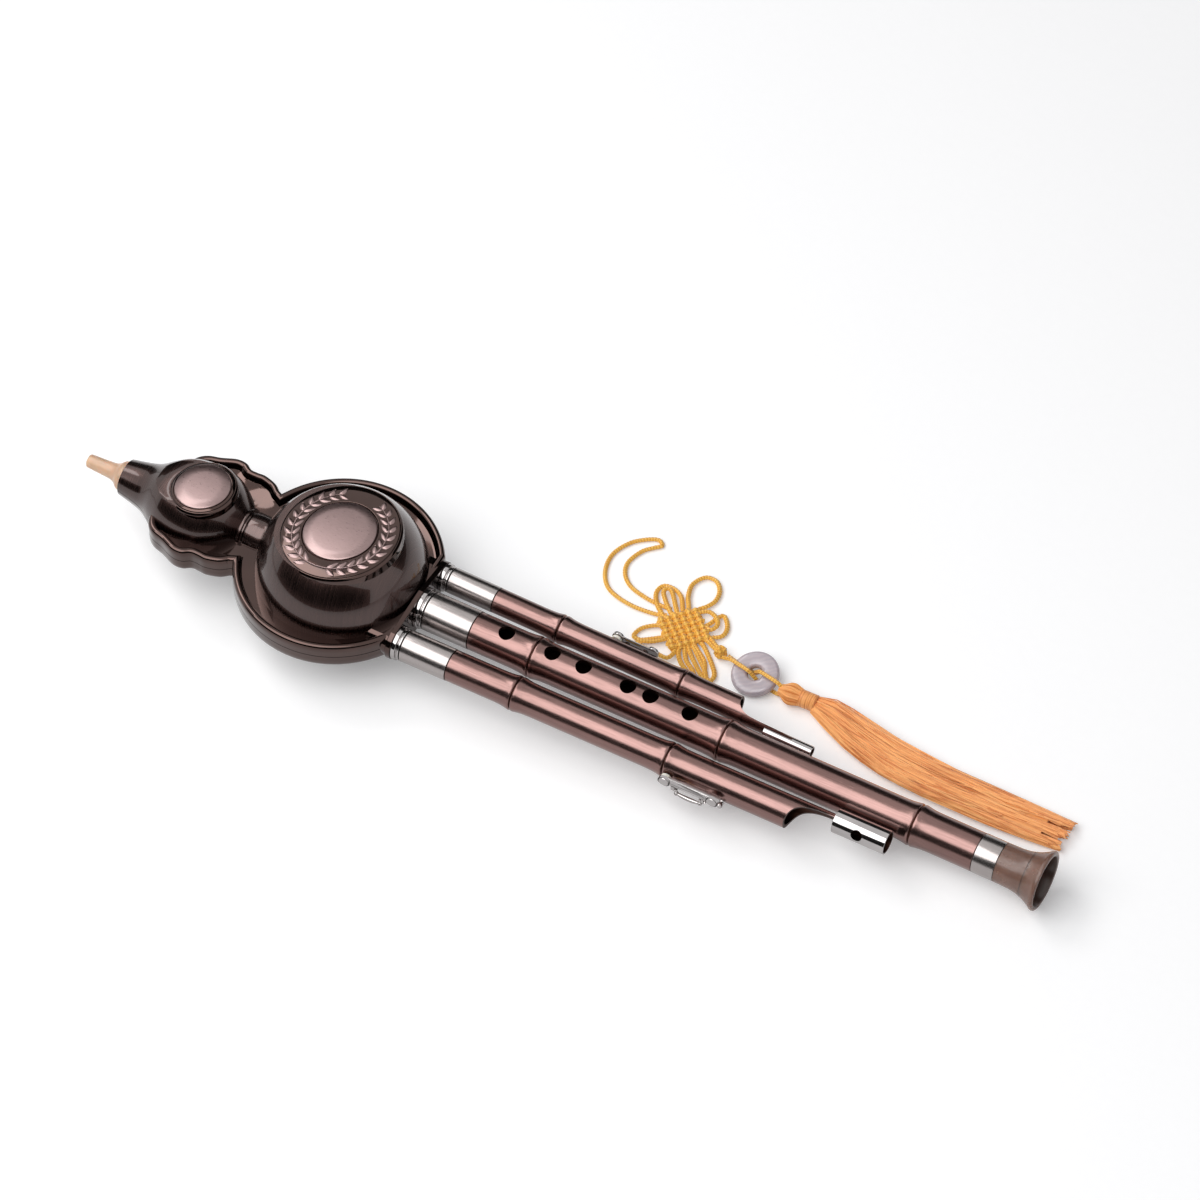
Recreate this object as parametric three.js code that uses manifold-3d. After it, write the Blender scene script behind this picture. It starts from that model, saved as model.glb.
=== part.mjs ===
// A hulusi: a gourd wind chest with a playing pipe and two drone pipes, and its knotted tassel.
// Sizes are in millimetres. In the instrument's own frame +X runs from the mouthpiece's tip to
// the bell and +Z out of the front. The whole instrument then leans back onto its rear land.

import * as THREE from 'three';
import { mergeVertices } from 'three/addons/utils/BufferGeometryUtils.js';
import Module from 'manifold-3d';

const wasm = await Module();
wasm.setup();

// Fits and counts
const gap = 0.3;
const overrun = 3;
const weld = 1e-5;
const gourdSides = 28;
const pipeSides = 20;
const smallSides = 10;
const tinySides = 8;

// Mouthpiece
const mouthLength = 18;
const mouthTipRadius = 3;
const mouthNeckX = 12;
const mouthNeckRadius = 3.6;
const mouthBaseRadius = 6.5;
const mouthBoreRadius = 1.8;
const mouthTenonRadius = 4;
const mouthTenonLength = 13;

// Gourd: the small bulb with its stem
const collarRadius = 7.9;
const smallBulbX = 54.5;
const smallBulbRadius = 20;
const neckX = 75;
const neckRadius = 9;
const neckRidgeWidth = 1.6;
const neckRidgeRise = 0.6;
const neckBoreRadius = 5;
const shellWall = 2.5;

// Gourd: the large bulb
const bulbX = 120.5;
const bulbRadius = 36;
const bulbFlatDepth = 1;
const socketX = bulbX + bulbRadius - bulbFlatDepth;

// Medallions on the front
const largeMedalRadius = 25.7;
const largeMedalHeight = 26.6;
const largeMedalPitch = 6.5;
const largeMedalDiscRadius = 15.3;
const smallMedalX = 55.5;
const smallMedalRadius = 14.5;
const smallMedalHeight = 15.8;
const smallMedalPitch = 6;
const smallMedalDiscRadius = 12.7;
const medalRim = 1.1;
const medalPocketDepth = 1.2;
const medalDiscRise = 1.2;

// Rear land that the gourd lies on
const landHeight = 27;

// Frame that joins the two bulbs
const frameLength = 86;
const frameFlatShare = 0.849;
const frameX = socketX - frameFlatShare * frameLength / 2;
const frameWidth = 88.4;
const frameHalfHeight = 6;
const frameLipWidth = 3.4;
const frameWebHalfHeight = 2.6;
const wingTipX = 40;
const wingOverlap = 10;
const wingRootX = frameX - frameLength / 2 + wingOverlap;
const wingReach = 27.2;
const wingSteps = 18;

// Socket end that the three pipes stand in
const capThickness = 2.2;
const capMargin = 0.9;
const collarLength = 3.4;
const collarFlange = 1.4;
const collarFlangeRise = 0.6;
const socketBlockLength = 9;

// Melody pipe
const collarReach = 6.5;
const ferruleLength = 20.6;
const ferruleX = socketX + collarReach;
const seamX = ferruleX + ferruleLength;
const melodyRadius = 8.2;
const melodyHolderRadius = 6;
const melodyEndX = 419;
const endFerruleLength = 9.3;
const nodeRise = 0.7;
const nodeGroove = 0.45;
const nodeHalfLength = 9;
const melodyNodeXs = [210.6, 296.8, 382.1];
const fingerHoleRadius = 3.4;
const fingerHoleXs = [197.1, 218.1, 232.3, 252.5, 262.7, 280.5];
const thumbHoleX = 204;
const ferruleWall = 0.6;
const ferruleProud = 0.1;
const spigotLength = 16;

// Bell
const bellLength = 19.5;
const bellRimRadius = 12.7;
const bellRimWidth = 1.5;
const bellWall = 1.6;
const bellSpigotLength = 9;
const bellSpigotWall = 1.2;
const bellPlugInset = 5.5;
const bellPlugThickness = 1.8;
const bellEndX = melodyEndX + bellLength;
const bellPlugX = bellEndX - bellPlugInset;

// Near drone, on the -Y side
const nearY = -19.95;
const nearConvergence = 0.45;
const nearRadius = 6.7;
const nearHolderRadius = 5;
const nearNodeXs = [212.5, 281.5];
const nearCutX = 335.4;
const nearScoopLength = 14;
const nearTongueEndX = 371.4;
const nearTongueHalfWidth = 4;
const nearTongueTurn = 25;
const nearTubeX = 353.7;
const nearTubeLength = 22.9;
const nearTubeWall = 0.65;
const nearTubeHoleX = 364.6;
const nearTubeHoleRadius = 2.4;
const nearTubeHoleTurn = -51;
const nearKeyX = 281.8;
const nearKeyLength = 26.5;

// Far drone, on the +Y side
const farY = 17.9;
const farConvergence = -0.6;
const farRadius = 5.4;
const farHolderRadius = 4;
const farNodeXs = [212.7, 268.8];
const farCutX = 293.7;
const farScoopLength = 8;
const farTongueEndX = 325;
const farTongueHalfWidth = 1.5;
const farTongueTurn = 0;
const farTubeX = 308.1;
const farTubeLength = 21.5;
const farTubeWall = 0.55;
const farKeyX = 232;
const farKeyLength = 21;

// Reeds and their holders, inside the large bulb
const holderX = 130;
const holderEndX = 178;
const holderCapLength = 2;
const holderWall = 2.1;
const reedX = 134;
const reedLength = 19;
const reedThickness = 0.4;
const reedSlit = 0.3;
const reedMargin = 0.9;

// Keys on the drones
const keyPlateThickness = 0.9;
const keyPlateHalfWidth = 2.1;
const keyEndRadius = 2.6;
const keyPlateRise = 1.9;
const keyPadRadius = 2.2;
const keyPadThickness = 1.2;
const keyHoleRadius = 1.5;
const keyAxisOffset = 3.3;
const keyAxisRise = 0.8;
const keyRodRadius = 0.45;
const keyLugRadius = 1;
const keyLugLength = 1.6;
const keyPostRadius = 0.8;
const keyBallRadius = 1.25;
const keyBarRadius = 0.85;
const keyBarOffset = 5.3;
const keyBarBow = 1.3;
const keyStubRadius = 0.5;
const keySpringRadius = 0.25;

// Knotted ornament that lies beside the far drone, in the floor's frame
const cordRadius = 0.9;
const knotX = 248.5;
const knotY = 53.5;
const knotSide = 16.5;
const knotTurn = 47;
const knotThickness = 4;
const earRadius = 3.4;
const buttonX = 267.6;
const buttonY = 49.3;
const buttonRadius = 2.9;
const ringX = 286;
const ringY = 45.3;
const ringRadius = 10;
const ringHoleRadius = 3.1;
const ringThickness = 4;
const ringTurn = -11.5;
const ringLean = 13.5;
const ringStrandOffset = 1.15;
const tasselHeadX = 300.5;
const tasselHeadY = 42.6;
const tasselHeadLength = 14.5;
const tasselHeadRadius = 3.6;
const tasselBindingLength = 7;
const tasselBindingRise = 0.5;
const tasselSkirtLength = 120;
const tasselSkirtWidth = 16;
const tasselSkirtHeight = 8;

// Colours of the finishes
const copperColour = 0x4a2c26;
const polishedColour = 0x2a1712;
const roseCopperColour = 0xb07868;
const silverColour = 0xcfc9cb;
const chromeColour = 0xe2e2e6;
const brassColour = 0xc8a455;
const plasticColour = 0xd9c3a2;
const amberColour = 0x6d4a3c;
const darkPlasticColour = 0x241c1a;
const padColour = 0xeee6da;
const cordColour = 0xf0b23c;
const jadeColour = 0xc9c4d2;
const silkColour = 0xf6a23e;

function finish(colour, roughness, metalness) {
  return new THREE.MeshStandardMaterial({ color: colour, roughness, metalness });
}

const copper = () => finish(copperColour, 0.35, 0.9);
const polished = () => finish(polishedColour, 0.1, 0.9);
const roseCopper = () => finish(roseCopperColour, 0.3, 0.9);
const silver = () => finish(silverColour, 0.3, 0.9);
const chrome = () => finish(chromeColour, 0.08, 1);
const brass = () => finish(brassColour, 0.3, 1);
const plastic = () => finish(plasticColour, 0.35, 0);
const amber = () => finish(amberColour, 0.3, 0);
const darkPlastic = () => finish(darkPlasticColour, 0.5, 0);
const pad = () => finish(padColour, 0.8, 0);
const silkCord = () => finish(cordColour, 0.7, 0);
const jade = () => finish(jadeColour, 0.25, 0);
const silk = () => finish(silkColour, 0.6, 0);

// Solids for cutting and joining
function solid(shape) {
  if (!(shape instanceof THREE.BufferGeometry)) return shape;
  const bare = shape.clone();
  bare.deleteAttribute('normal');
  bare.deleteAttribute('uv');
  const welded = mergeVertices(bare, weld);
  const corners = welded.index.array;
  const kept = [];
  for (let i = 0; i < corners.length; i += 3) {
    const [a, b, c] = [corners[i], corners[i + 1], corners[i + 2]];
    if (a !== b && b !== c && c !== a) kept.push(a, b, c);
  }
  return new wasm.Manifold(new wasm.Mesh({
    numProp: 3,
    vertProperties: Float32Array.from(welded.attributes.position.array),
    triVerts: Uint32Array.from(kept),
  }));
}

function join(...shapes) {
  return shapes.map(solid).reduce((whole, next) => whole.add(next));
}

function cut(body, ...tools) {
  return tools.map(solid).reduce((whole, tool) => whole.subtract(tool), solid(body));
}

function common(a, b) {
  return solid(a).intersect(solid(b));
}

function surface(shape) {
  const mesh = solid(shape).getMesh();
  const geometry = new THREE.BufferGeometry();
  geometry.setAttribute('position', new THREE.BufferAttribute(Float32Array.from(mesh.vertProperties), 3));
  geometry.setIndex(new THREE.BufferAttribute(Uint32Array.from(mesh.triVerts), 1));
  geometry.computeVertexNormals();
  return geometry;
}

function piece(parent, name, shape, material) {
  const mesh = new THREE.Mesh(surface(shape), material);
  mesh.name = name;
  parent.add(mesh);
  return mesh;
}

// Shapes turned about the X axis: a closed outline of [place along X, radius]
function turned(outline, sides = pipeSides) {
  const closed = outline.map(([x, radius]) => new THREE.Vector2(radius, x));
  const [first, last] = [closed[0], closed[closed.length - 1]];
  if (first.x > 0 || last.x > 0) closed.push(first.clone());
  if (THREE.ShapeUtils.area(closed) < 0) closed.reverse();
  const geometry = new THREE.LatheGeometry(closed, sides);
  geometry.rotateZ(-Math.PI / 2);
  return geometry;
}

function rod(x0, x1, radius, sides = pipeSides) {
  return turned([[x0, 0], [x0, radius], [x1, radius], [x1, 0]], sides);
}

function sleeve(x0, x1, outer, inner, sides = pipeSides) {
  return turned([[x0, inner], [x0, outer], [x1, outer], [x1, inner]], sides);
}

function box(x0, x1, y0, y1, z0, z1) {
  const geometry = new THREE.BoxGeometry(x1 - x0, y1 - y0, z1 - z0);
  geometry.translate((x0 + x1) / 2, (y0 + y1) / 2, (z0 + z1) / 2);
  return geometry;
}

// A flat outline in X and Y, raised from z0 to z1
function slab(points, z0, z1) {
  const geometry = new THREE.ExtrudeGeometry(new THREE.Shape(points), {
    depth: z1 - z0, bevelEnabled: false, steps: 1,
  });
  geometry.translate(0, 0, z0);
  return geometry;
}

function upright(x, y, z0, z1, radius, sides = smallSides) {
  const geometry = new THREE.CylinderGeometry(radius, radius, z1 - z0, sides);
  geometry.rotateX(Math.PI / 2);
  geometry.translate(x, y, (z0 + z1) / 2);
  return geometry;
}

function ball(x, y, z, radius) {
  const geometry = new THREE.SphereGeometry(radius, tinySides, tinySides / 2);
  geometry.translate(x, y, z);
  return geometry;
}

// A round cord or wire along a curve
function strand(curve, radius, steps, sides = tinySides) {
  const section = [];
  for (let i = 0; i < sides; i++) {
    const turn = (i / sides) * 2 * Math.PI;
    section.push(new THREE.Vector2(radius * Math.cos(turn), radius * Math.sin(turn)));
  }
  return new THREE.ExtrudeGeometry(new THREE.Shape(section), { steps, extrudePath: curve });
}

function placedLike(shape, object) {
  object.updateWorldMatrix(true, false);
  return shape.clone().applyMatrix4(object.matrixWorld);
}

function radians(degrees) {
  return THREE.MathUtils.degToRad(degrees);
}

const instrument = new THREE.Group();

// Outline of the stem and small bulb: shares of the way from the collar to the neck, and of the
// way from the neck's radius to the bulb's widest radius
const collarX = mouthLength + gap;
const stemShare = [
  [0, -0.1], [0.157, 0.075], [0.24, 0.24], [0.33, 0.55], [0.42, 0.81], [0.52, 0.955], [0.64, 1],
  [0.75, 0.925], [0.84, 0.72], [0.92, 0.42], [1, 0],
];
const smallBulbShare = 0.64;

function stemProfile() {
  const front = smallBulbX - collarX;
  const rear = neckX - smallBulbX;
  return stemShare.map(([along, across]) => {
    const x = along < smallBulbShare
      ? collarX + front * (along / smallBulbShare)
      : smallBulbX + rear * ((along - smallBulbShare) / (1 - smallBulbShare));
    return [x, neckRadius + across * (smallBulbRadius - neckRadius)];
  });
}

function neckProfile() {
  const ridge = neckX + neckRidgeWidth;
  return [
    [neckX + neckRidgeWidth / 4, neckRadius + neckRidgeRise],
    [ridge - neckRidgeWidth / 4, neckRadius + neckRidgeRise],
    [ridge, neckRadius - neckRidgeRise],
    [ridge + neckRidgeWidth / 2, neckRadius - neckRidgeRise],
    [ridge + neckRidgeWidth / 2, neckRadius],
  ];
}

function bulbArc(radius, leastRadius, lastX, steps) {
  const first = Math.asin(leastRadius / radius);
  const last = Math.acos((bulbX - lastX) / radius);
  const arc = [];
  for (let i = 0; i <= steps; i++) {
    const turn = first + (last - first) * (i / steps);
    arc.push([bulbX - radius * Math.cos(turn), radius * Math.sin(turn)]);
  }
  return arc;
}

function gourdBody() {
  const outline = [
    [collarX, 0], ...stemProfile(), ...neckProfile(),
    ...bulbArc(bulbRadius, neckRadius, socketX, 10), [socketX, 0],
  ];
  return turned(outline, gourdSides);
}

const tenonEndX = mouthLength + mouthTenonLength;
const chamberX = tenonEndX + shellWall;

function gourdHollow() {
  const small = stemProfile()
    .map(([x, radius]) => [x, radius - shellWall])
    .filter(([x, radius]) => x > chamberX && radius > neckBoreRadius);
  const socketRadius = mouthTenonRadius + gap;
  const innerRadius = bulbRadius - shellWall;
  const outline = [
    [collarX - overrun, 0], [collarX - overrun, socketRadius], [chamberX, socketRadius],
    ...small, [neckX, neckBoreRadius],
    ...bulbArc(innerRadius, neckBoreRadius, bulbX + innerRadius * hollowEndShare, 5),
  ];
  outline.push([outline[outline.length - 1][0], 0]);
  return turned(outline, gourdSides);
}
const hollowEndShare = 0.86;

// The two medallions' seats
function medalFrame(x, height, pitch) {
  const seat = new THREE.Group();
  seat.position.set(x, 0, height);
  seat.rotation.y = -radians(pitch);
  instrument.add(seat);
  return seat;
}

const largeMedal = medalFrame(bulbX, largeMedalHeight, largeMedalPitch);
const smallMedal = medalFrame(smallMedalX, smallMedalHeight, smallMedalPitch);

function medalBoss(seat, radius, depth) {
  return placedLike(upright(0, 0, -depth, 0, radius, gourdSides), seat);
}

function medalClearing(seat, radius) {
  return placedLike(box(-radius, radius, -radius, radius, 0, radius), seat);
}

function medalPocket(seat, radius) {
  const pocketRadius = radius - medalRim;
  return placedLike(upright(0, 0, -medalPocketDepth, overrun, pocketRadius, gourdSides), seat);
}

function underMedal(seat, radius) {
  const below = -medalPocketDepth - shellWall;
  return placedLike(box(-radius, radius, -radius, radius, below, radius), seat);
}

// The frame: a ring round the large bulb and a wing each side of the small one
const wingShare = [
  [0, 0.62], [0.03, 0.76], [0.1, 0.84], [0.2, 0.89], [0.34, 0.985], [0.44, 0.98], [0.51, 0.91],
  [0.58, 0.905], [0.66, 0.91], [0.78, 0.85], [0.9, 0.72], [1, 0.64],
];

function wingEdge(side, inset) {
  const length = wingRootX - wingTipX;
  const edge = wingShare.map(([along, across]) => new THREE.Vector2(
    wingTipX + length * along, wingReach * across,
  ));
  const smooth = new THREE.SplineCurve(edge).getPoints(wingSteps);
  const moved = smooth.map((point, i) => {
    const before = smooth[Math.max(i - 1, 0)];
    const after = smooth[Math.min(i + 1, smooth.length - 1)];
    const run = after.clone().sub(before).normalize();
    return new THREE.Vector2(point.x + run.y * inset, (point.y - run.x * inset) * side);
  });
  return moved;
}

function wingOutline(side, inset) {
  const edge = wingEdge(side, inset);
  const points = [new THREE.Vector2(edge[0].x, 0), ...edge, new THREE.Vector2(wingRootX, 0)];
  return side > 0 ? points.reverse() : points;
}

function ringOutline(inset) {
  const lengthRadius = frameLength / 2 - inset;
  const widthRadius = frameWidth / 2 - inset;
  const flat = socketX - inset;
  const open = Math.acos((flat - frameX) / lengthRadius);
  const points = [];
  for (let i = 0; i <= gourdSides; i++) {
    const turn = open + (2 * Math.PI - 2 * open) * (i / gourdSides);
    points.push(new THREE.Vector2(
      frameX + lengthRadius * Math.cos(turn), widthRadius * Math.sin(turn),
    ));
  }
  return points;
}

function plate(inset, z0, z1) {
  const wings = [1, -1].map((side) => slab(wingOutline(side, inset), z0, z1));
  return { wings, ring: slab(ringOutline(inset), z0, z1) };
}

function frameBody() {
  const whole = plate(0, -frameHalfHeight, frameHalfHeight);
  let body = join(whole.ring, ...whole.wings);
  for (const face of [1, -1]) {
    const low = face > 0 ? frameWebHalfHeight : -frameHalfHeight - overrun;
    const high = face > 0 ? frameHalfHeight + overrun : -frameWebHalfHeight;
    const recess = plate(frameLipWidth, low, high);
    const ringKept = slab(ringOutline(0), low - overrun, high + overrun);
    body = cut(body, recess.ring, ...recess.wings.map((wing) => cut(wing, ringKept)));
  }
  return body;
}

// The three pipes' axes, as groups that turn with their small convergence
function pipeAxis(y, convergence) {
  const hinge = new THREE.Group();
  hinge.position.set(socketX, y, 0);
  hinge.rotation.z = radians(convergence);
  const axis = new THREE.Group();
  axis.position.x = -socketX;
  hinge.add(axis);
  instrument.add(hinge);
  return axis;
}

const melody = { axis: pipeAxis(0, 0), radius: melodyRadius, holderRadius: melodyHolderRadius };
const near = {
  axis: pipeAxis(nearY, nearConvergence), radius: nearRadius, holderRadius: nearHolderRadius,
};
const far = {
  axis: pipeAxis(farY, farConvergence), radius: farRadius, holderRadius: farHolderRadius,
};
const pipes = [['melody', melody], ['near', near], ['far', far]];

function socketBores(fromX, toX) {
  return pipes.map(([, pipe]) => placedLike(
    rod(fromX, toX, pipe.holderRadius + gap), pipe.axis,
  ));
}

// The end plate's outline in Y and Z: straight sides round the three pipes' circles
function capOutline(margin) {
  const discs = [[nearY, nearRadius], [0, melodyRadius], [farY, farRadius]];
  const rim = [];
  for (const [y, radius] of discs) {
    for (let i = 0; i < pipeSides; i++) {
      const turn = (i / pipeSides) * 2 * Math.PI;
      const reach = radius + margin;
      rim.push([y + reach * Math.cos(turn), reach * Math.sin(turn)]);
    }
  }
  return hull(rim).map(([y, z]) => new THREE.Vector2(y, z));
}

function hull(points) {
  const sorted = [...points].sort((a, b) => a[0] - b[0] || a[1] - b[1]);
  const turnOf = (o, a, b) => (a[0] - o[0]) * (b[1] - o[1]) - (a[1] - o[1]) * (b[0] - o[0]);
  const half = (list) => {
    const chain = [];
    for (const point of list) {
      while (chain.length > 1 && turnOf(chain[chain.length - 2], chain[chain.length - 1], point) <= 0) {
        chain.pop();
      }
      chain.push(point);
    }
    return chain.slice(0, -1);
  };
  return [...half(sorted), ...half(sorted.reverse())];
}

// The same outline as a block from x0 to x1
function capBlock(margin, x0, x1) {
  const geometry = slab(capOutline(margin), 0, x1 - x0);
  const turn = new THREE.Matrix4().makeBasis(
    new THREE.Vector3(0, 1, 0), new THREE.Vector3(0, 0, 1), new THREE.Vector3(1, 0, 0),
  );
  geometry.applyMatrix4(turn);
  geometry.translate(x0, 0, 0);
  return geometry;
}

function socketBlock() {
  const block = capBlock(0, socketX - socketBlockLength, socketX);
  const reach = frameWidth / 2;
  const level = box(
    socketX - socketBlockLength, socketX, -reach, reach, -frameHalfHeight, frameHalfHeight,
  );
  return common(block, level);
}

// How far the instrument leans back, so that the land lies level with the bell's lowest point
const lean = Math.atan2(landHeight - bellRimRadius, bellEndX - bulbX);

function rearClearing() {
  const seat = new THREE.Group();
  seat.position.set(bulbX, 0, -landHeight);
  seat.rotation.y = -lean;
  return placedLike(box(-bulbRadius, bulbRadius, -bulbRadius, bulbRadius, -bulbRadius, 0), seat);
}

function rearLining() {
  const seat = new THREE.Group();
  seat.position.set(bulbX, 0, -landHeight + shellWall);
  seat.rotation.y = -lean;
  return placedLike(box(-bulbRadius, bulbRadius, -bulbRadius, bulbRadius, -bulbRadius, 0), seat);
}

function gourd() {
  const bodies = join(gourdBody(), frameBody(), socketBlock(),
    medalBoss(largeMedal, largeMedalRadius, bulbRadius / 2),
    medalBoss(smallMedal, smallMedalRadius, smallBulbRadius / 2));
  const faced = cut(bodies,
    medalClearing(largeMedal, bulbRadius), medalClearing(smallMedal, smallBulbRadius),
    medalPocket(largeMedal, largeMedalRadius), medalPocket(smallMedal, smallMedalRadius),
    rearClearing());
  const hollow = cut(gourdHollow(),
    underMedal(largeMedal, bulbRadius), underMedal(smallMedal, smallBulbRadius), rearLining());
  return cut(faced, hollow, ...socketBores(bulbX, socketX + overrun));
}

function shells() {
  const whole = gourd();
  const reach = frameWidth;
  const front = box(0, socketX + overrun, -reach, reach, gap / 2, reach);
  const back = box(0, socketX + overrun, -reach, reach, -reach, -gap / 2);
  piece(instrument, 'gourd_front_shell', common(whole, front), copper());
  piece(instrument, 'gourd_back_shell', common(whole, back), copper());
}

function medallion(seat, name, radius, discRadius) {
  const plateRadius = radius - medalRim - gap;
  const bottom = -medalPocketDepth + gap;
  const disc = upright(0, 0, 0, medalDiscRise, discRadius, gourdSides);
  const base = upright(0, 0, bottom, 0, plateRadius, gourdSides);
  piece(seat, name, join(base, disc), polished());
}

function mouthpiece() {
  const shoulder = mouthLength - mouthBaseRadius / 2;
  const outline = [
    [0, mouthBoreRadius], [0, mouthTipRadius], [mouthNeckX, mouthNeckRadius],
    [(mouthNeckX + shoulder) / 2, (mouthNeckRadius * 2 + mouthBaseRadius) / 3],
    [shoulder, mouthBaseRadius], [mouthLength, mouthBaseRadius],
    [mouthLength, mouthTenonRadius], [tenonEndX, mouthTenonRadius], [tenonEndX, mouthBoreRadius],
  ];
  piece(instrument, 'mouthpiece', turned(outline), plastic());
}

function socketCap() {
  const x0 = socketX + gap;
  const block = capBlock(capMargin, x0, x0 + capThickness);
  piece(instrument, 'pipe_socket_cap', cut(block, ...socketBores(x0 - overrun, ferruleX)), polished());
}

function socketCollar(name, pipe) {
  const x0 = socketX + capThickness + 2 * gap;
  const outer = pipe.radius;
  const bore = pipe.holderRadius + gap;
  const outline = [
    [x0, bore], [x0, outer + collarFlangeRise], [x0 + collarFlange, outer + collarFlangeRise],
    [x0 + collarFlange, outer], [x0 + collarLength, outer], [x0 + collarLength, bore],
  ];
  piece(pipe.axis, `${name}_socket_collar`, turned(outline), chrome());
}

// Bamboo joints on a pipe
function nodeProfile(nodeX, radius) {
  const lip = nodeHalfLength / 12;
  return [
    [nodeX - nodeHalfLength, radius],
    [nodeX - lip, radius + nodeRise],
    [nodeX, radius + nodeRise - nodeGroove],
    [nodeX + lip, radius + nodeRise],
    [nodeX + nodeHalfLength, radius],
  ];
}

function ferruleBore(radius) {
  return radius + ferruleProud - ferruleWall;
}

function pipeTube(pipe, nodeXs, endX, endProfile) {
  const bore = pipe.holderRadius + gap;
  const spigot = ferruleBore(pipe.radius) - gap;
  const outline = [
    [seamX - spigotLength, bore], [seamX - spigotLength, spigot], [seamX + gap, spigot],
    [seamX + gap, pipe.radius],
    ...nodeXs.flatMap((nodeX) => nodeProfile(nodeX, pipe.radius)),
    ...endProfile, [endX, bore],
  ];
  return turned(outline);
}

function ferrule(pipe, name, x0, x1) {
  const outer = pipe.radius + ferruleProud;
  piece(pipe.axis, name, sleeve(x0, x1, outer, ferruleBore(pipe.radius)), silver());
}

function reedHolder(pipe, name) {
  const radius = pipe.holderRadius;
  const bore = radius - holderWall;
  const flat = bore + holderWall / 3;
  const reach = Math.sqrt(radius * radius - (flat + gap + reedThickness) ** 2);
  const halfWidth = reach - gap;
  const windowHalf = halfWidth - reedMargin / 2;
  const outline = [
    [holderX, 0], [holderX, radius], [holderEndX, radius], [holderEndX, bore],
    [holderX + holderCapLength, bore], [holderX + holderCapLength, 0],
  ];
  const seat = box(reedX - gap, reedX + reedLength + gap, -radius, radius, flat, radius + overrun);
  const window = box(
    reedX + reedMargin * 2, reedX + reedLength - reedMargin * 2, -windowHalf, windowHalf, 0, radius,
  );
  piece(pipe.axis, `${name}_reed_holder`, cut(turned(outline), seat, window), darkPlastic());
  reed(pipe, name, flat + gap, halfWidth);
}

// A brass plate with a slit that frees its tongue on three sides
function reed(pipe, name, bottom, halfWidth) {
  const top = bottom + reedThickness;
  const tongueHalf = halfWidth - reedMargin;
  const tongueX = reedX + reedMargin * 3;
  const tongueEnd = reedX + reedLength - reedMargin * 3;
  const body = box(reedX, reedX + reedLength, -halfWidth, halfWidth, bottom, top);
  const slits = [
    box(tongueX, tongueEnd, tongueHalf - reedSlit, tongueHalf, bottom - gap, top + gap),
    box(tongueX, tongueEnd, -tongueHalf, -tongueHalf + reedSlit, bottom - gap, top + gap),
    box(tongueX, tongueX + reedSlit, -tongueHalf, tongueHalf, bottom - gap, top + gap),
  ];
  piece(pipe.axis, `${name}_reed`, cut(body, ...slits), brass());
}

function melodyPipe() {
  const seat = ferruleBore(melodyRadius) - gap;
  const seatX = melodyEndX - endFerruleLength;
  const end = [[seatX - gap, melodyRadius], [seatX - gap, seat], [melodyEndX - gap, seat]];
  const tube = pipeTube(melody, melodyNodeXs, melodyEndX - gap, end);
  const reach = melodyRadius + nodeRise + overrun;
  const holes = fingerHoleXs.map((x) => upright(x, 0, 0, reach, fingerHoleRadius, smallSides));
  const thumbHole = upright(thumbHoleX, 0, -reach, 0, fingerHoleRadius, smallSides);
  piece(melody.axis, 'melody_pipe', cut(tube, ...holes, thumbHole), roseCopper());
  ferrule(melody, 'melody_top_ferrule', ferruleX, seamX);
  ferrule(melody, 'melody_end_ferrule', seatX, melodyEndX);
  reedHolder(melody, 'melody');
}

// The bell's flare: shares of its length and of the way from its start radius to its rim
const bellShare = [[0, 0], [0.3, 0.03], [0.5, 0.14], [0.68, 0.38], [0.82, 0.68], [0.9, 0.9]];

function bell() {
  const start = melodyEndX + gap;
  const length = bellEndX - start;
  const startRadius = melodyRadius + ferruleProud;
  const spread = bellRimRadius - startRadius;
  const outer = bellShare.map(([along, across]) => [
    start + length * along, startRadius + spread * across,
  ]);
  const spigot = melodyHolderRadius;
  const bore = spigot - bellSpigotWall;
  const plugSeat = bellPlugX - bellPlugThickness - gap;
  const mouth = bellRimRadius - bellWall - bellRimWidth;
  const inner = bellRimRadius - bellRimWidth;
  const outline = [
    [melodyEndX - bellSpigotLength, bore], [melodyEndX - bellSpigotLength, spigot], [start, spigot],
    ...outer,
    [bellEndX - bellRimWidth, bellRimRadius], [bellEndX, bellRimRadius], [bellEndX, inner],
    [bellPlugX + gap, mouth], [plugSeat, mouth], [plugSeat, bore],
  ];
  piece(melody.axis, 'bell', turned(outline), amber());
  const plugRadius = mouth - gap;
  const plug = sleeve(plugSeat + gap, bellPlugX, plugRadius, bore, pipeSides);
  piece(melody.axis, 'bell_plug', plug, amber());
}

// A drone's open end: the pipe is scooped away to a tongue that carries its tuning tube
function tongueSeat(radius, bore, halfWidth) {
  const outer = Math.sqrt(radius * radius - halfWidth * halfWidth);
  const inner = Math.sqrt(bore * bore - halfWidth * halfWidth);
  return { height: (outer + inner) / 2, reach: Math.hypot((outer - inner) / 2, halfWidth), outer };
}

const scoopShare = [
  [0, -1], [0.01, -0.62], [0.06, -0.2], [0.16, 0.16], [0.3, 0.4], [0.5, 0.56], [0.75, 0.66], [1, 0.7],
];

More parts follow.
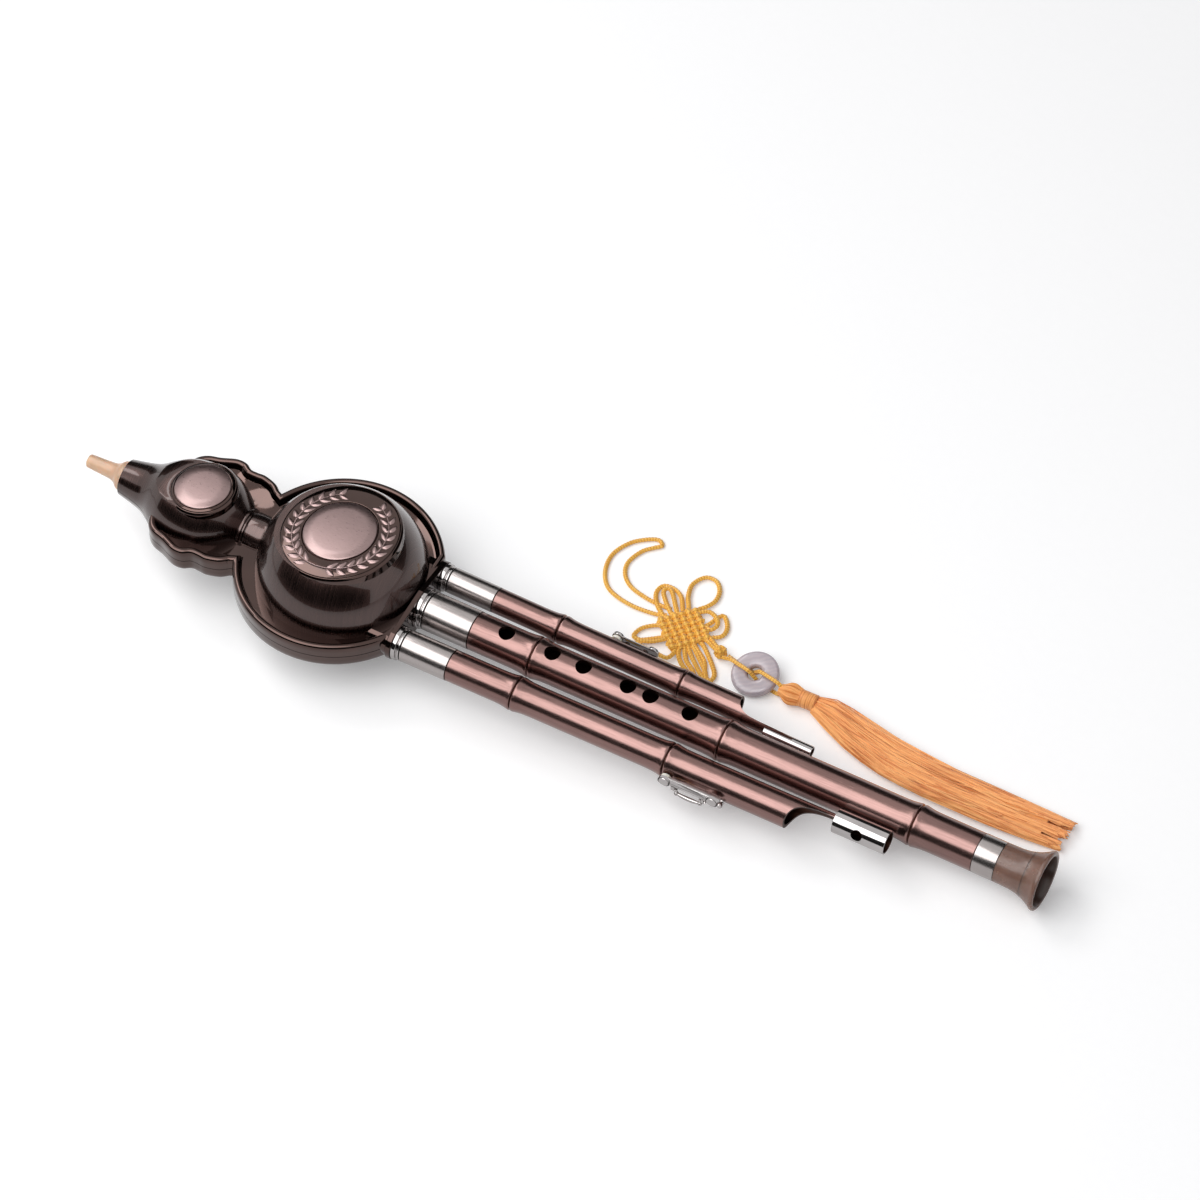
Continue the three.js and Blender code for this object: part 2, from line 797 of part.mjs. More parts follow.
function scoop(radius, cutX, length, halfWidth, endX) {
  const far = radius + overrun;
  const curve = scoopShare.map(([along, across]) => new THREE.Vector2(
    cutX + length * along, radius * across,
  ));
  const points = [
    new THREE.Vector2(cutX, -far), ...curve,
    new THREE.Vector2(endX + overrun, radius * scoopShare[scoopShare.length - 1][1]),
    new THREE.Vector2(endX + overrun, -far),
  ];
  const across = slab(points.reverse(), -far, far);
  across.rotateX(Math.PI / 2);
  const sides = [1, -1].map((side) => box(
    cutX + length, endX + overrun,
    Math.min(side * halfWidth, side * far), Math.max(side * halfWidth, side * far), -far, far,
  ));
  const beyond = box(endX, endX + overrun, -far, far, -far, far);
  return join(across, ...sides, beyond);
}

function keyHole(radius, x) {
  return upright(x, 0, 0, radius + overrun, keyHoleRadius);
}

function drone(name, pipe, values) {
  const end = values.tongueEndX + overrun / 2;
  const tube = pipeTube(pipe, values.nodeXs, end, [[end, pipe.radius]]);
  const inner = new THREE.Group();
  inner.rotation.x = radians(values.innerTurn);
  pipe.axis.add(inner);
  const outer = new THREE.Group();
  outer.rotation.x = radians(values.outerTurn);
  pipe.axis.add(outer);
  const tool = scoop(pipe.radius, values.cutX, values.scoopLength, values.tongueHalfWidth,
    values.tongueEndX);
  const padX = values.keyX + keyEndRadius;
  const body = cut(tube, turnedX(tool, inner.rotation.x),
    turnedX(keyHole(pipe.radius, padX), outer.rotation.x));
  piece(pipe.axis, `${name}_drone_pipe`, body, roseCopper());
  ferrule(pipe, `${name}_drone_ferrule`, ferruleX, seamX);
  reedHolder(pipe, name);
  tuningTube(name, pipe, inner, values);
  key(name, pipe, outer, values);
}

function turnedX(shape, angle) {
  const geometry = shape instanceof THREE.BufferGeometry ? shape.clone() : surface(shape);
  return geometry.rotateX(angle);
}

function tuningTube(name, pipe, inner, values) {
  const seat = tongueSeat(pipe.radius, pipe.holderRadius + gap, values.tongueHalfWidth);
  const bore = seat.reach + gap;
  const outer = bore + values.tubeWall;
  const group = new THREE.Group();
  group.position.z = seat.height;
  inner.add(group);
  let tube = solid(sleeve(values.tubeX, values.tubeX + values.tubeLength, outer, bore));
  if (values.tubeHoleRadius) {
    const hole = upright(values.tubeHoleX, 0, -outer - overrun, 0, values.tubeHoleRadius);
    tube = cut(tube, turnedX(hole, radians(values.tubeHoleTurn)));
  }
  piece(group, `${name}_tuning_tube`, tube, chrome());
}

// A key on a drone's outer side. In its group X runs along the pipe and Z points outwards.
function key(name, pipe, outer, values) {
  const side = values.keySide;
  const x0 = values.keyX;
  const x1 = values.keyX + values.keyLength;
  const padX = x0 + keyEndRadius;
  const touchX = x1 - keyEndRadius;
  const overNode = values.nodeXs.some((nodeX) => (
    nodeX + nodeHalfLength > x0 && nodeX - nodeHalfLength < x1
  ));
  const seat = pipe.radius + (overNode ? nodeRise : 0);
  const plateZ = seat + keyPlateRise;
  const plateTop = plateZ + keyPlateThickness;
  const axisZ = seat + keyAxisRise;
  const axisY = side * keyAxisOffset;
  const band = (a, b) => [Math.min(a * side, b * side), Math.max(a * side, b * side)];

  const strip = box(padX, touchX, -keyPlateHalfWidth, keyPlateHalfWidth, plateZ, plateTop);
  const ends = [padX, touchX].map((x) => upright(x, 0, plateZ, plateTop + gap, keyEndRadius));
  const lugXs = [padX + keyPadRadius + keyLugLength, touchX - keyPadRadius - keyLugLength];
  const lugs = lugXs.map((x) => {
    const eye = rod(-keyLugLength / 2, keyLugLength / 2, keyLugRadius, tinySides);
    eye.translate(x, axisY, axisZ);
    const [y0, y1] = band(keyPlateHalfWidth - gap, keyAxisOffset + keyRodRadius);
    return join(eye, box(x - keyLugLength / 2, x + keyLugLength / 2, y0, y1, axisZ, plateTop));
  });
  const eyeBore = rod(x0, x1, keyRodRadius + gap * (2 / 3), tinySides);
  eyeBore.translate(0, axisY, axisZ);
  piece(outer, `${name}_key_lever`, cut(join(strip, ...ends, ...lugs), eyeBore), chrome());

  const padTop = plateZ - gap;
  piece(outer, `${name}_key_pad`, upright(padX, 0, padTop - keyPadThickness, padTop, keyPadRadius),
    pad());

  const postXs = [x0, x1];
  const postReach = keyBallRadius + gap;
  const shaft = rod(x0 + postReach, x1 - postReach, keyRodRadius, tinySides);
  shaft.translate(0, axisY, axisZ);
  piece(outer, `${name}_key_rod`, shaft, chrome());

  postXs.forEach((x, i) => {
    const onNode = values.nodeXs.some((nodeX) => Math.abs(nodeX - x) < nodeHalfLength);
    const clear = pipe.radius + (onNode ? nodeRise : 0) + gap;
    const foot = upright(x, axisY, 0, axisZ, keyPostRadius, tinySides);
    const post = cut(join(foot, ball(x, axisY, axisZ, keyBallRadius)),
      rod(x0 - overrun, x1 + overrun, clear));
    piece(outer, `${name}_key_post_${i + 1}`, post, chrome());
  });

  const barZ = (plateZ + plateTop) / 2;
  const barX0 = lugXs[0] + keyLugLength;
  const barX1 = lugXs[1] - keyLugLength;
  const barEnd = side * keyBarOffset;
  const bow = new THREE.QuadraticBezierCurve3(
    new THREE.Vector3(barX0, barEnd, barZ),
    new THREE.Vector3((barX0 + barX1) / 2, barEnd + side * keyBarBow * 2, barZ),
    new THREE.Vector3(barX1, barEnd, barZ),
  );
  const stubs = [barX0, barX1].map((x) => {
    const [y0, y1] = band(keyPlateHalfWidth + gap, keyBarOffset);
    const stub = new THREE.CylinderGeometry(keyStubRadius, keyStubRadius, y1 - y0, tinySides);
    stub.translate(x, (y0 + y1) / 2, barZ);
    return stub;
  });
  const knobs = [barX0, barX1].map((x) => ball(x, barEnd, barZ, keyBallRadius * 0.85));
  piece(outer, `${name}_key_bar`, join(strand(bow, keyBarRadius, 6), ...knobs, ...stubs), chrome());

  const springZ = seat + keySpringRadius + gap;
  const springY = side * (keyPlateHalfWidth / 2);
  const springX0 = padX + keyPadRadius + gap;
  const wire = rod(springX0, springX0 + values.keyLength / 3, keySpringRadius, 6);
  wire.translate(0, springY, springZ);
  piece(outer, `${name}_key_spring`, wire, brass());
}

shells();
medallion(largeMedal, 'front_large_medallion', largeMedalRadius, largeMedalDiscRadius);
medallion(smallMedal, 'front_small_medallion', smallMedalRadius, smallMedalDiscRadius);
mouthpiece();
socketCap();
for (const [name, pipe] of pipes) socketCollar(name, pipe);
melodyPipe();
bell();
drone('near', near, {
  nodeXs: nearNodeXs, cutX: nearCutX, scoopLength: nearScoopLength, tongueEndX: nearTongueEndX,
  tongueHalfWidth: nearTongueHalfWidth, innerTurn: -90 + nearTongueTurn, outerTurn: 90,
  tubeX: nearTubeX, tubeLength: nearTubeLength, tubeWall: nearTubeWall,
  tubeHoleX: nearTubeHoleX, tubeHoleRadius: nearTubeHoleRadius, tubeHoleTurn: nearTubeHoleTurn,
  keyX: nearKeyX, keyLength: nearKeyLength, keySide: -1,
});
drone('far', far, {
  nodeXs: farNodeXs, cutX: farCutX, scoopLength: farScoopLength, tongueEndX: farTongueEndX,
  tongueHalfWidth: farTongueHalfWidth, innerTurn: 90 - farTongueTurn, outerTurn: -90,
  tubeX: farTubeX, tubeLength: farTubeLength, tubeWall: farTubeWall,
  keyX: farKeyX, keyLength: farKeyLength, keySide: 1,
});

// The ornament lies on the floor. Its frame is level, with X along the instrument.
const ornament = new THREE.Group();

function cordAlong(name, points, steps) {
  const route = points.map(([x, y, z]) => new THREE.Vector3(x, y, z));
  const curve = new THREE.CatmullRomCurve3(route, false, 'centripetal');
  piece(ornament, name, strand(curve, cordRadius, steps), silkCord());
}

const cordZ = cordRadius + gap / 3;
const loopCordSteps = 28;
const ringCordSteps = 22;
const loopRoute = [
  [238.2, 57.8, cordZ], [234, 56.2, cordZ], [224, 55.6, cordZ], [214.7, 57.3, cordZ],
  [208.6, 60.7, cordZ], [204.3, 67.6, cordZ], [203.2, 76, cordZ], [206.6, 84, cordZ],
  [212, 88.9, cordZ], [216.6, 90.9, cordZ], [219.2, 88.9, cordZ], [216.8, 86.4, cordZ],
  [213.2, 82.4, cordZ], [210.9, 75, cordZ], [212.8, 68.9, cordZ], [217.9, 64.3, cordZ],
  [225.5, 62, cordZ], [232, 61.2, cordZ], [238.4, 61.2, cordZ],
];

function knot() {
  const half = knotSide / 2;
  const body = box(-half, half, -half, half, gap / 3, knotThickness);
  const earXs = [-half, 0, half];
  const ears = [];
  for (const along of earXs) {
    for (const side of [1, -1]) {
      ears.push([along, side * half], [side * half, along]);
    }
  }
  const loops = ears.map(([x, y]) => {
    const torus = new THREE.TorusGeometry(earRadius - cordRadius, cordRadius, 5, tinySides);
    torus.translate(x, y, cordZ + gap);
    return torus;
  });
  const woven = surface(join(body, ...loops));
  woven.rotateZ(radians(knotTurn));
  woven.translate(knotX, knotY, 0);
  const corner = new THREE.Vector3(knotX + half * Math.SQRT2, knotY, buttonRadius);
  const buttonAt = new THREE.Vector3(buttonX, buttonY, buttonRadius);
  const reach = buttonAt.clone().sub(corner);
  const lead = new THREE.LineCurve3(
    corner, corner.clone().addScaledVector(reach, 1 - (buttonRadius + gap) / reach.length()),
  );
  piece(ornament, 'ornament_knot', join(woven, strand(lead, cordRadius, 1)), silkCord());
}

function button() {
  const shape = new THREE.SphereGeometry(buttonRadius, smallSides, smallSides / 2);
  shape.translate(buttonX, buttonY, buttonRadius + gap / 3);
  piece(ornament, 'ornament_button', shape, silkCord());
}

// The ring lies over two strands that cross in its hole, with its near edge on the floor. Each
// strand runs over one side of it and under the other: places along the strand from the ring's
// centre, and heights over the ring's underside.
const overRing = [[-9.8, 5.25], [-7, 5.2], [-4.4, 5.2], [-2.9, 5.1], [-1.8, 4.6], [-1.15, 3.6]];
const underRing = overRing.map(([along, height]) => [-along, ringThickness - height]).reverse();
const turnedRound = (route) => route.map(([along, height]) => [-along, height]).reverse();
const ringCentre = [0, ringThickness / 2];
const downStrand = [
  [-15.8, 1.6], [-13.9, 3], [-11.8, 4.6], ...overRing, ringCentre, ...underRing,
  [12, -0.7], [13.2, 0.3], [14, 1.2],
];
const upStrand = [
  [-15.6, -0.6], [-13, -1.15], ...turnedRound(underRing), ringCentre, ...turnedRound(overRing),
  [11.6, 4.6], [13, 3.6], [14, 2.8],
];

function ringSeat() {
  const seat = new THREE.Group();
  seat.rotation.order = 'ZXY';
  seat.rotation.set(radians(ringLean), 0, radians(ringTurn));
  seat.position.set(ringX, ringY, gap / 2 + ringRadius * Math.sin(radians(ringLean)));
  ornament.add(seat);
  return seat;
}

function jadeRing() {
  const seat = ringSeat();
  const shape = sleeve(0, ringThickness, ringRadius, ringHoleRadius, pipeSides);
  shape.rotateY(-Math.PI / 2);
  piece(seat, 'jade_ring', shape, jade());
  seat.updateMatrix();
  const strands = [[downStrand, -ringStrandOffset], [upStrand, ringStrandOffset]];
  strands.forEach(([route, offset], i) => {
    const points = route.map(([along, height]) => (
      new THREE.Vector3(along, offset, height).applyMatrix4(seat.matrix).toArray()
    ));
    cordAlong(`ornament_ring_cord_${i + 1}`, points, ringCordSteps);
  });
}

// The skirt's centre line as it lies, in shares of its length, with its width and height shares
const skirtShare = [
  [0, 0, 0.46, 0.8], [0.06, -0.01, 0.62, 0.95], [0.16, -0.04, 0.86, 1], [0.3, -0.08, 0.98, 0.95],
  [0.5, -0.1, 1, 0.85], [0.75, -0.103, 1, 0.75], [1, -0.105, 0.98, 0.65],
];

function ringedBody(rings) {
  const count = rings[0].length;
  const positions = rings.flat(2);
  const faces = [];
  for (let i = 0; i < rings.length - 1; i++) {
    for (let j = 0; j < count; j++) {
      const [a, b] = [i * count + j, i * count + (j + 1) % count];
      faces.push(a, b, b + count, a, b + count, a + count);
    }
  }
  const last = (rings.length - 1) * count;
  for (let j = 1; j < count - 1; j++) {
    faces.push(0, j + 1, j, last, last + j, last + j + 1);
  }
  const geometry = new THREE.BufferGeometry();
  geometry.setAttribute('position', new THREE.Float32BufferAttribute(positions, 3));
  geometry.setIndex(faces);
  return geometry;
}

function tassel() {
  const headY = tasselHeadY;
  const head = turned([
    [0, 0], [0, tasselHeadRadius / 2], [tasselHeadRadius / 2, tasselHeadRadius],
    [tasselHeadLength, tasselHeadRadius], [tasselHeadLength, 0],
  ], smallSides);
  head.translate(tasselHeadX, headY, tasselHeadRadius + tasselBindingRise + gap);
  const bindX0 = tasselHeadX + tasselHeadLength - tasselBindingLength - gap;
  const bindX1 = tasselHeadX + tasselHeadLength - gap;
  const grip = tasselHeadRadius - gap;
  const headZ = tasselHeadRadius + tasselBindingRise + gap;
  const waist = sleeve(bindX0, bindX1, tasselHeadRadius + overrun, grip, smallSides);
  waist.translate(0, headY, headZ);
  piece(ornament, 'tassel_head', cut(head, waist), silk());
  const binding = sleeve(bindX0 + gap / 2, bindX1 - gap / 2, tasselHeadRadius + tasselBindingRise,
    grip + gap, smallSides);
  binding.translate(0, headY, headZ);
  piece(ornament, 'tassel_binding', binding, silk());

  const skirtX = tasselHeadX + tasselHeadLength + gap;
  const rings = skirtShare.map(([along, across, wide, high]) => {
    const ring = [];
    for (let i = 0; i < smallSides; i++) {
      const turn = (i / smallSides) * 2 * Math.PI;
      const halfHeight = tasselSkirtHeight * high / 2;
      ring.push([
        skirtX + tasselSkirtLength * along,
        headY + tasselSkirtLength * across + tasselSkirtWidth * wide / 2 * Math.cos(turn),
        gap / 3 + halfHeight + halfHeight * Math.sin(turn),
      ]);
    }
    return ring;
  });
  piece(ornament, 'tassel_skirt', ringedBody(rings), silk());
}

cordAlong('ornament_loop_cord', loopRoute, loopCordSteps);
knot();
button();
jadeRing();
tassel();

// The instrument leans onto its land, and both stand over the middle of the instrument's box
const object = new THREE.Group();
instrument.rotation.y = lean;
object.add(instrument);
object.updateMatrixWorld(true);
const bounds = new THREE.Box3().setFromObject(instrument, true);
const middle = bounds.getCenter(new THREE.Vector3());
instrument.position.set(-middle.x, -middle.y, -bounds.min.z);
ornament.position.set(-middle.x, -middle.y, 0);
object.add(ornament);
object.updateMatrixWorld(true);

export default object;
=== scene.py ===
"""Looks of a hulusi in antique copper plating with its knotted silk tassel.

Shapes are made in millimetres, in the instrument's own frame: +X from the mouthpiece to the bell,
+Z out of the front. They are then placed, in metres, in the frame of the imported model.
"""

import math
import random
from types import SimpleNamespace as Part

import bmesh
import bpy
from mathutils import Matrix, Vector


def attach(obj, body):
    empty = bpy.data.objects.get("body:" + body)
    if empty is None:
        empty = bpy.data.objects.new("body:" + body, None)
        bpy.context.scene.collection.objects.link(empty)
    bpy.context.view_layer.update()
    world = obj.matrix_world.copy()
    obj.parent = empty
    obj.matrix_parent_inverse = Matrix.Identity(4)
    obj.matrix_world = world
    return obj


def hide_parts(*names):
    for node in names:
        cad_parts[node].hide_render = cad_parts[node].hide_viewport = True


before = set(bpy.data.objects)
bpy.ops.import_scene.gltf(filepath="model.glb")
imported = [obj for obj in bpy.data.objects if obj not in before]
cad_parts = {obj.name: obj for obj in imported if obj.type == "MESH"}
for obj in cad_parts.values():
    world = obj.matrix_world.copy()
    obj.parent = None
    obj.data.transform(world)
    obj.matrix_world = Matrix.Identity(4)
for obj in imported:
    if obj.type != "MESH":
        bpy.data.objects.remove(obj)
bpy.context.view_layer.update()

bl_info = {
    "name": "Hulusi",
    "version": (1, 0, 0),
    "blender": (4, 5, 0),
    "location": "View3D > Sidebar > Hulusi",
    "description": "Builds the looks of a gourd wind instrument around its packed frame",
    "category": "Object",
}

MM = 0.001
GAP = 0.3
WORK_SCALE = Matrix.Scale(MM, 4)

# Places of the instrument's frame and of its three pipes
LEAN = math.atan2(14.3, 318.0)
ORIGIN = Vector((-0.2192465, 0.0, 0.032386))
INSTRUMENT = Matrix.Translation(ORIGIN) @ Matrix.Rotation(LEAN, 4, "Y")
FLOOR = Matrix.Translation((ORIGIN.x, 0.0, 0.0))
SOCKET_X = 155.5


def shift(x, y=0.0, z=0.0):
    return Matrix.Translation((x, y, z))


def millimetres(x, y=0.0, z=0.0):
    return shift(x * MM, y * MM, z * MM)


def turn(degrees, axis):
    return Matrix.Rotation(math.radians(degrees), 4, axis)


def pipe_place(y, convergence):
    return INSTRUMENT @ millimetres(SOCKET_X, y) @ turn(convergence, "Z") @ millimetres(-SOCKET_X)


MELODY = Part(name="melody", place=INSTRUMENT, y=0, radius=8.2, bore=6.0 + GAP)
NEAR = Part(name="near", place=pipe_place(-19.95, 0.45), y=-19.95, radius=6.7, bore=5.0 + GAP)
FAR = Part(name="far", place=pipe_place(17.9, -0.6), y=17.9, radius=5.4, bore=4.0 + GAP)
PIPES = (MELODY, NEAR, FAR)
UPRIGHT = turn(-90, "Y")
GOURD, ORNAMENT = (INSTRUMENT, "gourd"), (FLOOR, "ornament")
LOCKS = 44
NODE_RISE = 0.7


class Link:
    """A node's output. Arithmetic on it adds Math nodes."""

    def __init__(self, finish, socket):
        self.finish, self.socket = finish, socket

    def math(self, operation, *values):
        settings = {"operation": operation}
        return self.finish.node("ShaderNodeMath", settings, dict(enumerate((self, *values))))

    def __add__(self, value):
        return self.math("ADD", value)

    def __sub__(self, value):
        return self.math("SUBTRACT", value)

    def __rsub__(self, value):
        return self * -1 + value

    def __mul__(self, value):
        return self.math("MULTIPLY", value)

    __radd__, __rmul__ = __add__, __mul__

    def between(self, low, high):
        """0 below low and 1 above high."""
        settings = {"interpolation_type": "SMOOTHSTEP"}
        return self.finish.node("ShaderNodeMapRange", settings, {0: self, 1: low, 2: high})


class Finish:
    """One material or world, built node by node."""

    def __init__(self, name, world=False):
        self.data = (bpy.data.worlds if world else bpy.data.materials).new(name)
        self.data.use_nodes = True
        self.tree = self.data.node_tree
        self.shader = self.tree.nodes.get("Principled BSDF")

    def feed(self, socket, value):
        """Links a socket or sets it, a colour with full alpha."""
        if isinstance(value, Link):
            self.tree.links.new(value.socket, socket)
        else:
            socket.default_value = (*value, 1) if socket.type == "RGBA" else value

    def node(self, kind, settings=None, values=None, output=0):
        made = self.tree.nodes.new(kind)
        for key, value in (settings or {}).items():
            setattr(made, key, value)
        for key, value in (values or {}).items():
            self.feed(made.inputs[key], value)
        return Link(self, made.outputs[output])

    def set(self, **values):
        for key, value in values.items():
            self.feed(self.shader.inputs[key.replace("_", " ")], value)
        return self

    def place(self, scale, rotation=(0, 0, 0)):
        """Object coordinates, turned and scaled for a pattern."""
        values = {"Vector": self.node("ShaderNodeTexCoord", output=3), "Rotation": rotation}
        return self.node("ShaderNodeMapping", {}, {**values, "Scale": scale})

    def noise(self, where, detail=2.0, roughness=0.5):
        """Noise over coordinates, or over the object's own at one scale."""
        if not isinstance(where, Link):
            where = self.place((where, where, where))
        values = {"Vector": where, "Scale": 1.0, "Detail": detail, "Roughness": roughness}
        return self.node("ShaderNodeTexNoise", {}, values)

    def rays(self, kind):
        return self.node("ShaderNodeLightPath", output=f"Is {kind} Ray")

    def blend(self, share, first, second):
        """A colour between two, by a share."""
        values = {0: share, 6: first, 7: second}
        return self.node("ShaderNodeMix", {"data_type": "RGBA"}, values, 2)

    def vary(self, pattern, colour, low, high):
        """A colour that a pattern darkens and lightens."""
        return self.blend(pattern.between(0.3, 0.7), scaled(colour, low), scaled(colour, high))

    def bump(self, height, strength, distance):
        values = {"Height": height, "Strength": strength, "Distance": distance * MM}
        return self.set(Normal=self.node("ShaderNodeBump", {}, values))


def scaled(colour, share):
    return tuple(channel * share for channel in colour)


def brushed(name, colour, lines, roughness, coat, wear=0.2, depth=0.03):
    """Metal brushed along or round X, with a slow change of tone."""
    finish = Finish(name)
    fine = finish.noise(finish.place(lines, (0, -LEAN, 0)), 3, 0.6)
    slow = finish.noise(22)
    finish.set(
        Base_Color=finish.vary(fine * 0.6 + slow * 0.4, colour, 1 - wear, 1 + wear),
        Metallic=1.0,
        Roughness=fine * 0.16 + (roughness - 0.08),
        Coat_Weight=coat,
        Coat_Roughness=0.04,
    )
    return finish.bump(fine, 0.25, depth).data


def polished(name, colour, coat=0.0):
    """Mirror metal with faint rubbing marks."""
    finish = Finish(name)
    smear = finish.noise(60, 3)
    marks = finish.noise(finish.place((900, 240, 900), (0.3, 0.5, 0.8)), 2, 0.7)
    finish.set(
        Base_Color=finish.vary(smear, colour, 0.88, 1.08),
        Metallic=1.0,
        Roughness=smear * 0.06 + marks * 0.04 + 0.02,
        Coat_Weight=coat,
        Coat_Roughness=0.03,
    )
    return finish.bump(smear, 0.06, 0.04).data


def moulded(name, colour, roughness, subsurface, clear=0.0):
    """Translucent plastic with a slightly uneven surface."""
    finish = Finish(name)
    cloud, grain = finish.noise(130, 3), finish.noise(1500)
    finish.set(
        Base_Color=finish.vary(cloud, colour, 0.88, 1.12),
        Roughness=cloud * 0.1 + (roughness - 0.05),
        Subsurface_Weight=subsurface,
        Subsurface_Radius=(1.0, 0.6, 0.4),
        Subsurface_Scale=0.004,
        Transmission_Weight=clear,
        IOR=1.49,
    )
    return finish.bump(grain, 0.08, 0.02).data


def silk(name, colour, shade, run, braid=0.0):
    """Silk whose fibres run along the piece's own length, plaited or straight; a plait's furrows get
    painted shade.
    """
    finish = Finish(name)
    along = finish.node("ShaderNodeUVMap", {"uv_map": "length"})
    stretched = finish.node("ShaderNodeMapping", {}, {"Vector": along, "Scale": run})
    fibre = finish.noise(stretched, 3, 0.6)
    if braid:
        around, ahead = (
            finish.node("ShaderNodeSeparateXYZ", {}, {"Vector": along}, axis) * rate
            for axis, rate in ((0, 8 * math.pi), (1, 2 * math.pi / PLAIT_PITCH))
        )
        # Painted shade in the furrows between the plait's strands, mixed with the fibres' random tone.
        plait_shade = (around + ahead).math("SINE") * (around - ahead).math("SINE")
        fibre = fibre * (1 - braid) + plait_shade * (braid / 2) + braid / 2
    finish.set(
        Base_Color=finish.blend(fibre.between(0.34, 0.6), shade, colour),
        Roughness=fibre * 0.2 + 0.38,
        Sheen_Weight=0.35,
        Sheen_Roughness=0.4,
        Specular_IOR_Level=0.6,
    )
    return finish.bump(fibre, 0.5, 0.08).data


def banded_stone(name, colour, band):
    """Pale stone with cloudy bands."""
    finish = Finish(name)
    values = {"Vector": finish.place((1, 1, 1), (0.35, 0.2, 1.1)), "Scale": 190.0}
    values.update({"Distortion": 5.0, "Detail": 3.0, "Detail Scale": 1.2})
    settings = {"wave_type": "BANDS", "bands_direction": "X"}
    wave = finish.node("ShaderNodeTexWave", settings, values, 1)
    cloud = finish.noise(150, 3)
    finish.set(
        Base_Color=finish.blend((wave * 0.6 + cloud * 0.4).between(0.25, 0.75), colour, band),
        Roughness=cloud * 0.08 + 0.12,
        Subsurface_Weight=0.35,
        Subsurface_Radius=(1.0, 0.85, 0.9),
        Subsurface_Scale=0.003,
        Coat_Weight=0.4,
        Coat_Roughness=0.06,
    )
    return finish.bump(cloud, 0.05, 0.05).data


_finishes = {}


def finishes():
    """The object's materials, made once from the colours in the panel."""
    if _finishes:
        return _finishes
    tint = bpy.context.scene.hulusi_colours
    ring_lines, long_lines = (2600, 60, 60), (70, 2400, 2400)
    for make, name, *values in (
        (brushed, "plated_gourd", tint.gourd, ring_lines, 0.26, 0.8),
        (brushed, "disc_satin", tint.disc, (500, 1500, 1500), 0.3, 0.2, 0.08, 0.006),
        (polished, "polished_copper", tint.polished, 0.6),
        (brushed, "rose_copper_tube", tint.tube, long_lines, 0.24, 0.2),
        # Painted shade: a dark copy of the tube copper for the faces inside the bores.
        (brushed, "tube_inside", tint.inside, long_lines, 0.45, 0.0),
        (brushed, "satin_ferrule", tint.ferrule, long_lines, 0.24, 0.0, 0.08),
        (polished, "chrome_fitting", tint.chrome),
        (brushed, "reed_brass", tint.brass, long_lines, 0.3, 0.0),
        (moulded, "reed_holder", tint.holder, 0.5, 0.0),
        (moulded, "mouthpiece_plastic", tint.mouthpiece, 0.3, 0.6, 0.25),
        (moulded, "bell_plastic", tint.bell, 0.26, 0.35, 0.3),
        # Painted shade: a darker copy of the bell plastic for the inside of the flare and the stopper.
        (moulded, "bell_inside", scaled(tint.bell, 0.3), 0.3, 0.1),
        (moulded, "key_pad", tint.pad, 0.7, 0.2),
        # The cord's shade colour is painted shade in the plait's furrows as well as random fibre tone.
        (silk, "silk_cord", tint.cord, tint.cord_shade, (9, 1.4, 1), 0.5),
        (silk, "tassel_silk", tint.yarn, tint.yarn_shade, (0.6, 0.04, 1)),
        (banded_stone, "jade", tint.jade, tint.jade_band),
    ):
        _finishes[name] = make(name, *values)
    return _finishes


# Shapes in millimetres


def smooth_line(points, steps=6):
    """More points on a smooth curve through the given ones."""
    ends = [points[0], *points, points[-1]]
    made = []
    for corners in zip(ends, ends[1:], ends[2:], ends[3:]):
        p, q, r, s = (Vector(corner) for corner in corners)
        bend, twist = 2 * p - 5 * q + 4 * r - s, 3 * q - 3 * r + s - p
        for i in range(steps):
            t = i / steps
            made.append(0.5 * (2 * q + (r - p) * t + bend * t * t + twist * t**3))
    return [*made, Vector(points[-1])]


def rounded(outline, reach, closed=True):
    """The outline of [x, radius] with its corners rounded."""
    count = len(outline)
    made = []
    for i, corner in enumerate(outline):
        here = Vector(corner)
        if not closed and i in (0, count - 1):
            made.append(here)
            continue
        before, after = Vector(outline[i - 1]), Vector(outline[(i + 1) % count])
        back, ahead = before - here, after - here
        if back.length < 1e-6 or ahead.length < 1e-6 or back.angle(ahead) > 2.6:
            made.append(here)
            continue
        size = min(reach, back.length * 0.45, ahead.length * 0.45)
        start, end = here + back.normalized() * size, here + ahead.normalized() * size
        for t in (0, 0.25, 0.5, 0.75, 1):
            made.append(start * (1 - t) ** 2 + here * 2 * t * (1 - t) + end * t * t)
    return made


def arc(middle, along, across, first, last, steps):
    """Points of an ellipse about a place on X, between two angles."""
    angles = [first + (last - first) * i / steps for i in range(steps + 1)]
    return [(middle + along * math.cos(a), across * math.sin(a)) for a in angles]


def around_x(x, reach, angle):
    return Vector((x, reach * math.cos(angle), reach * math.sin(angle)))


def outward(bm):
    bmesh.ops.recalc_face_normals(bm, faces=bm.faces)
    return bm


def turned(bm, matrix):
    bmesh.ops.transform(bm, matrix=matrix, verts=bm.verts)
    return bm


def spun(outline, steps=96):
    """A solid turned about X from an outline of [x, radius], a ring if it keeps off the axis."""
    bm = bmesh.new()
    corners = [bm.verts.new((x, 0, radius)) for x, radius in outline]
    lines = [bm.edges.new(pair) for pair in zip(corners, corners[1:])]
    if outline[0][1] > 0:
        lines.append(bm.edges.new((corners[-1], corners[0])))
    bmesh.ops.spin(
        bm, geom=corners + lines, cent=(0, 0, 0), axis=(1, 0, 0), angle=2 * math.pi, steps=steps,
        use_merge=True,
    )
    bmesh.ops.remove_doubles(bm, verts=bm.verts, dist=1e-4)
    bmesh.ops.dissolve_degenerate(bm, edges=bm.edges, dist=1e-4)
    return outward(bm)


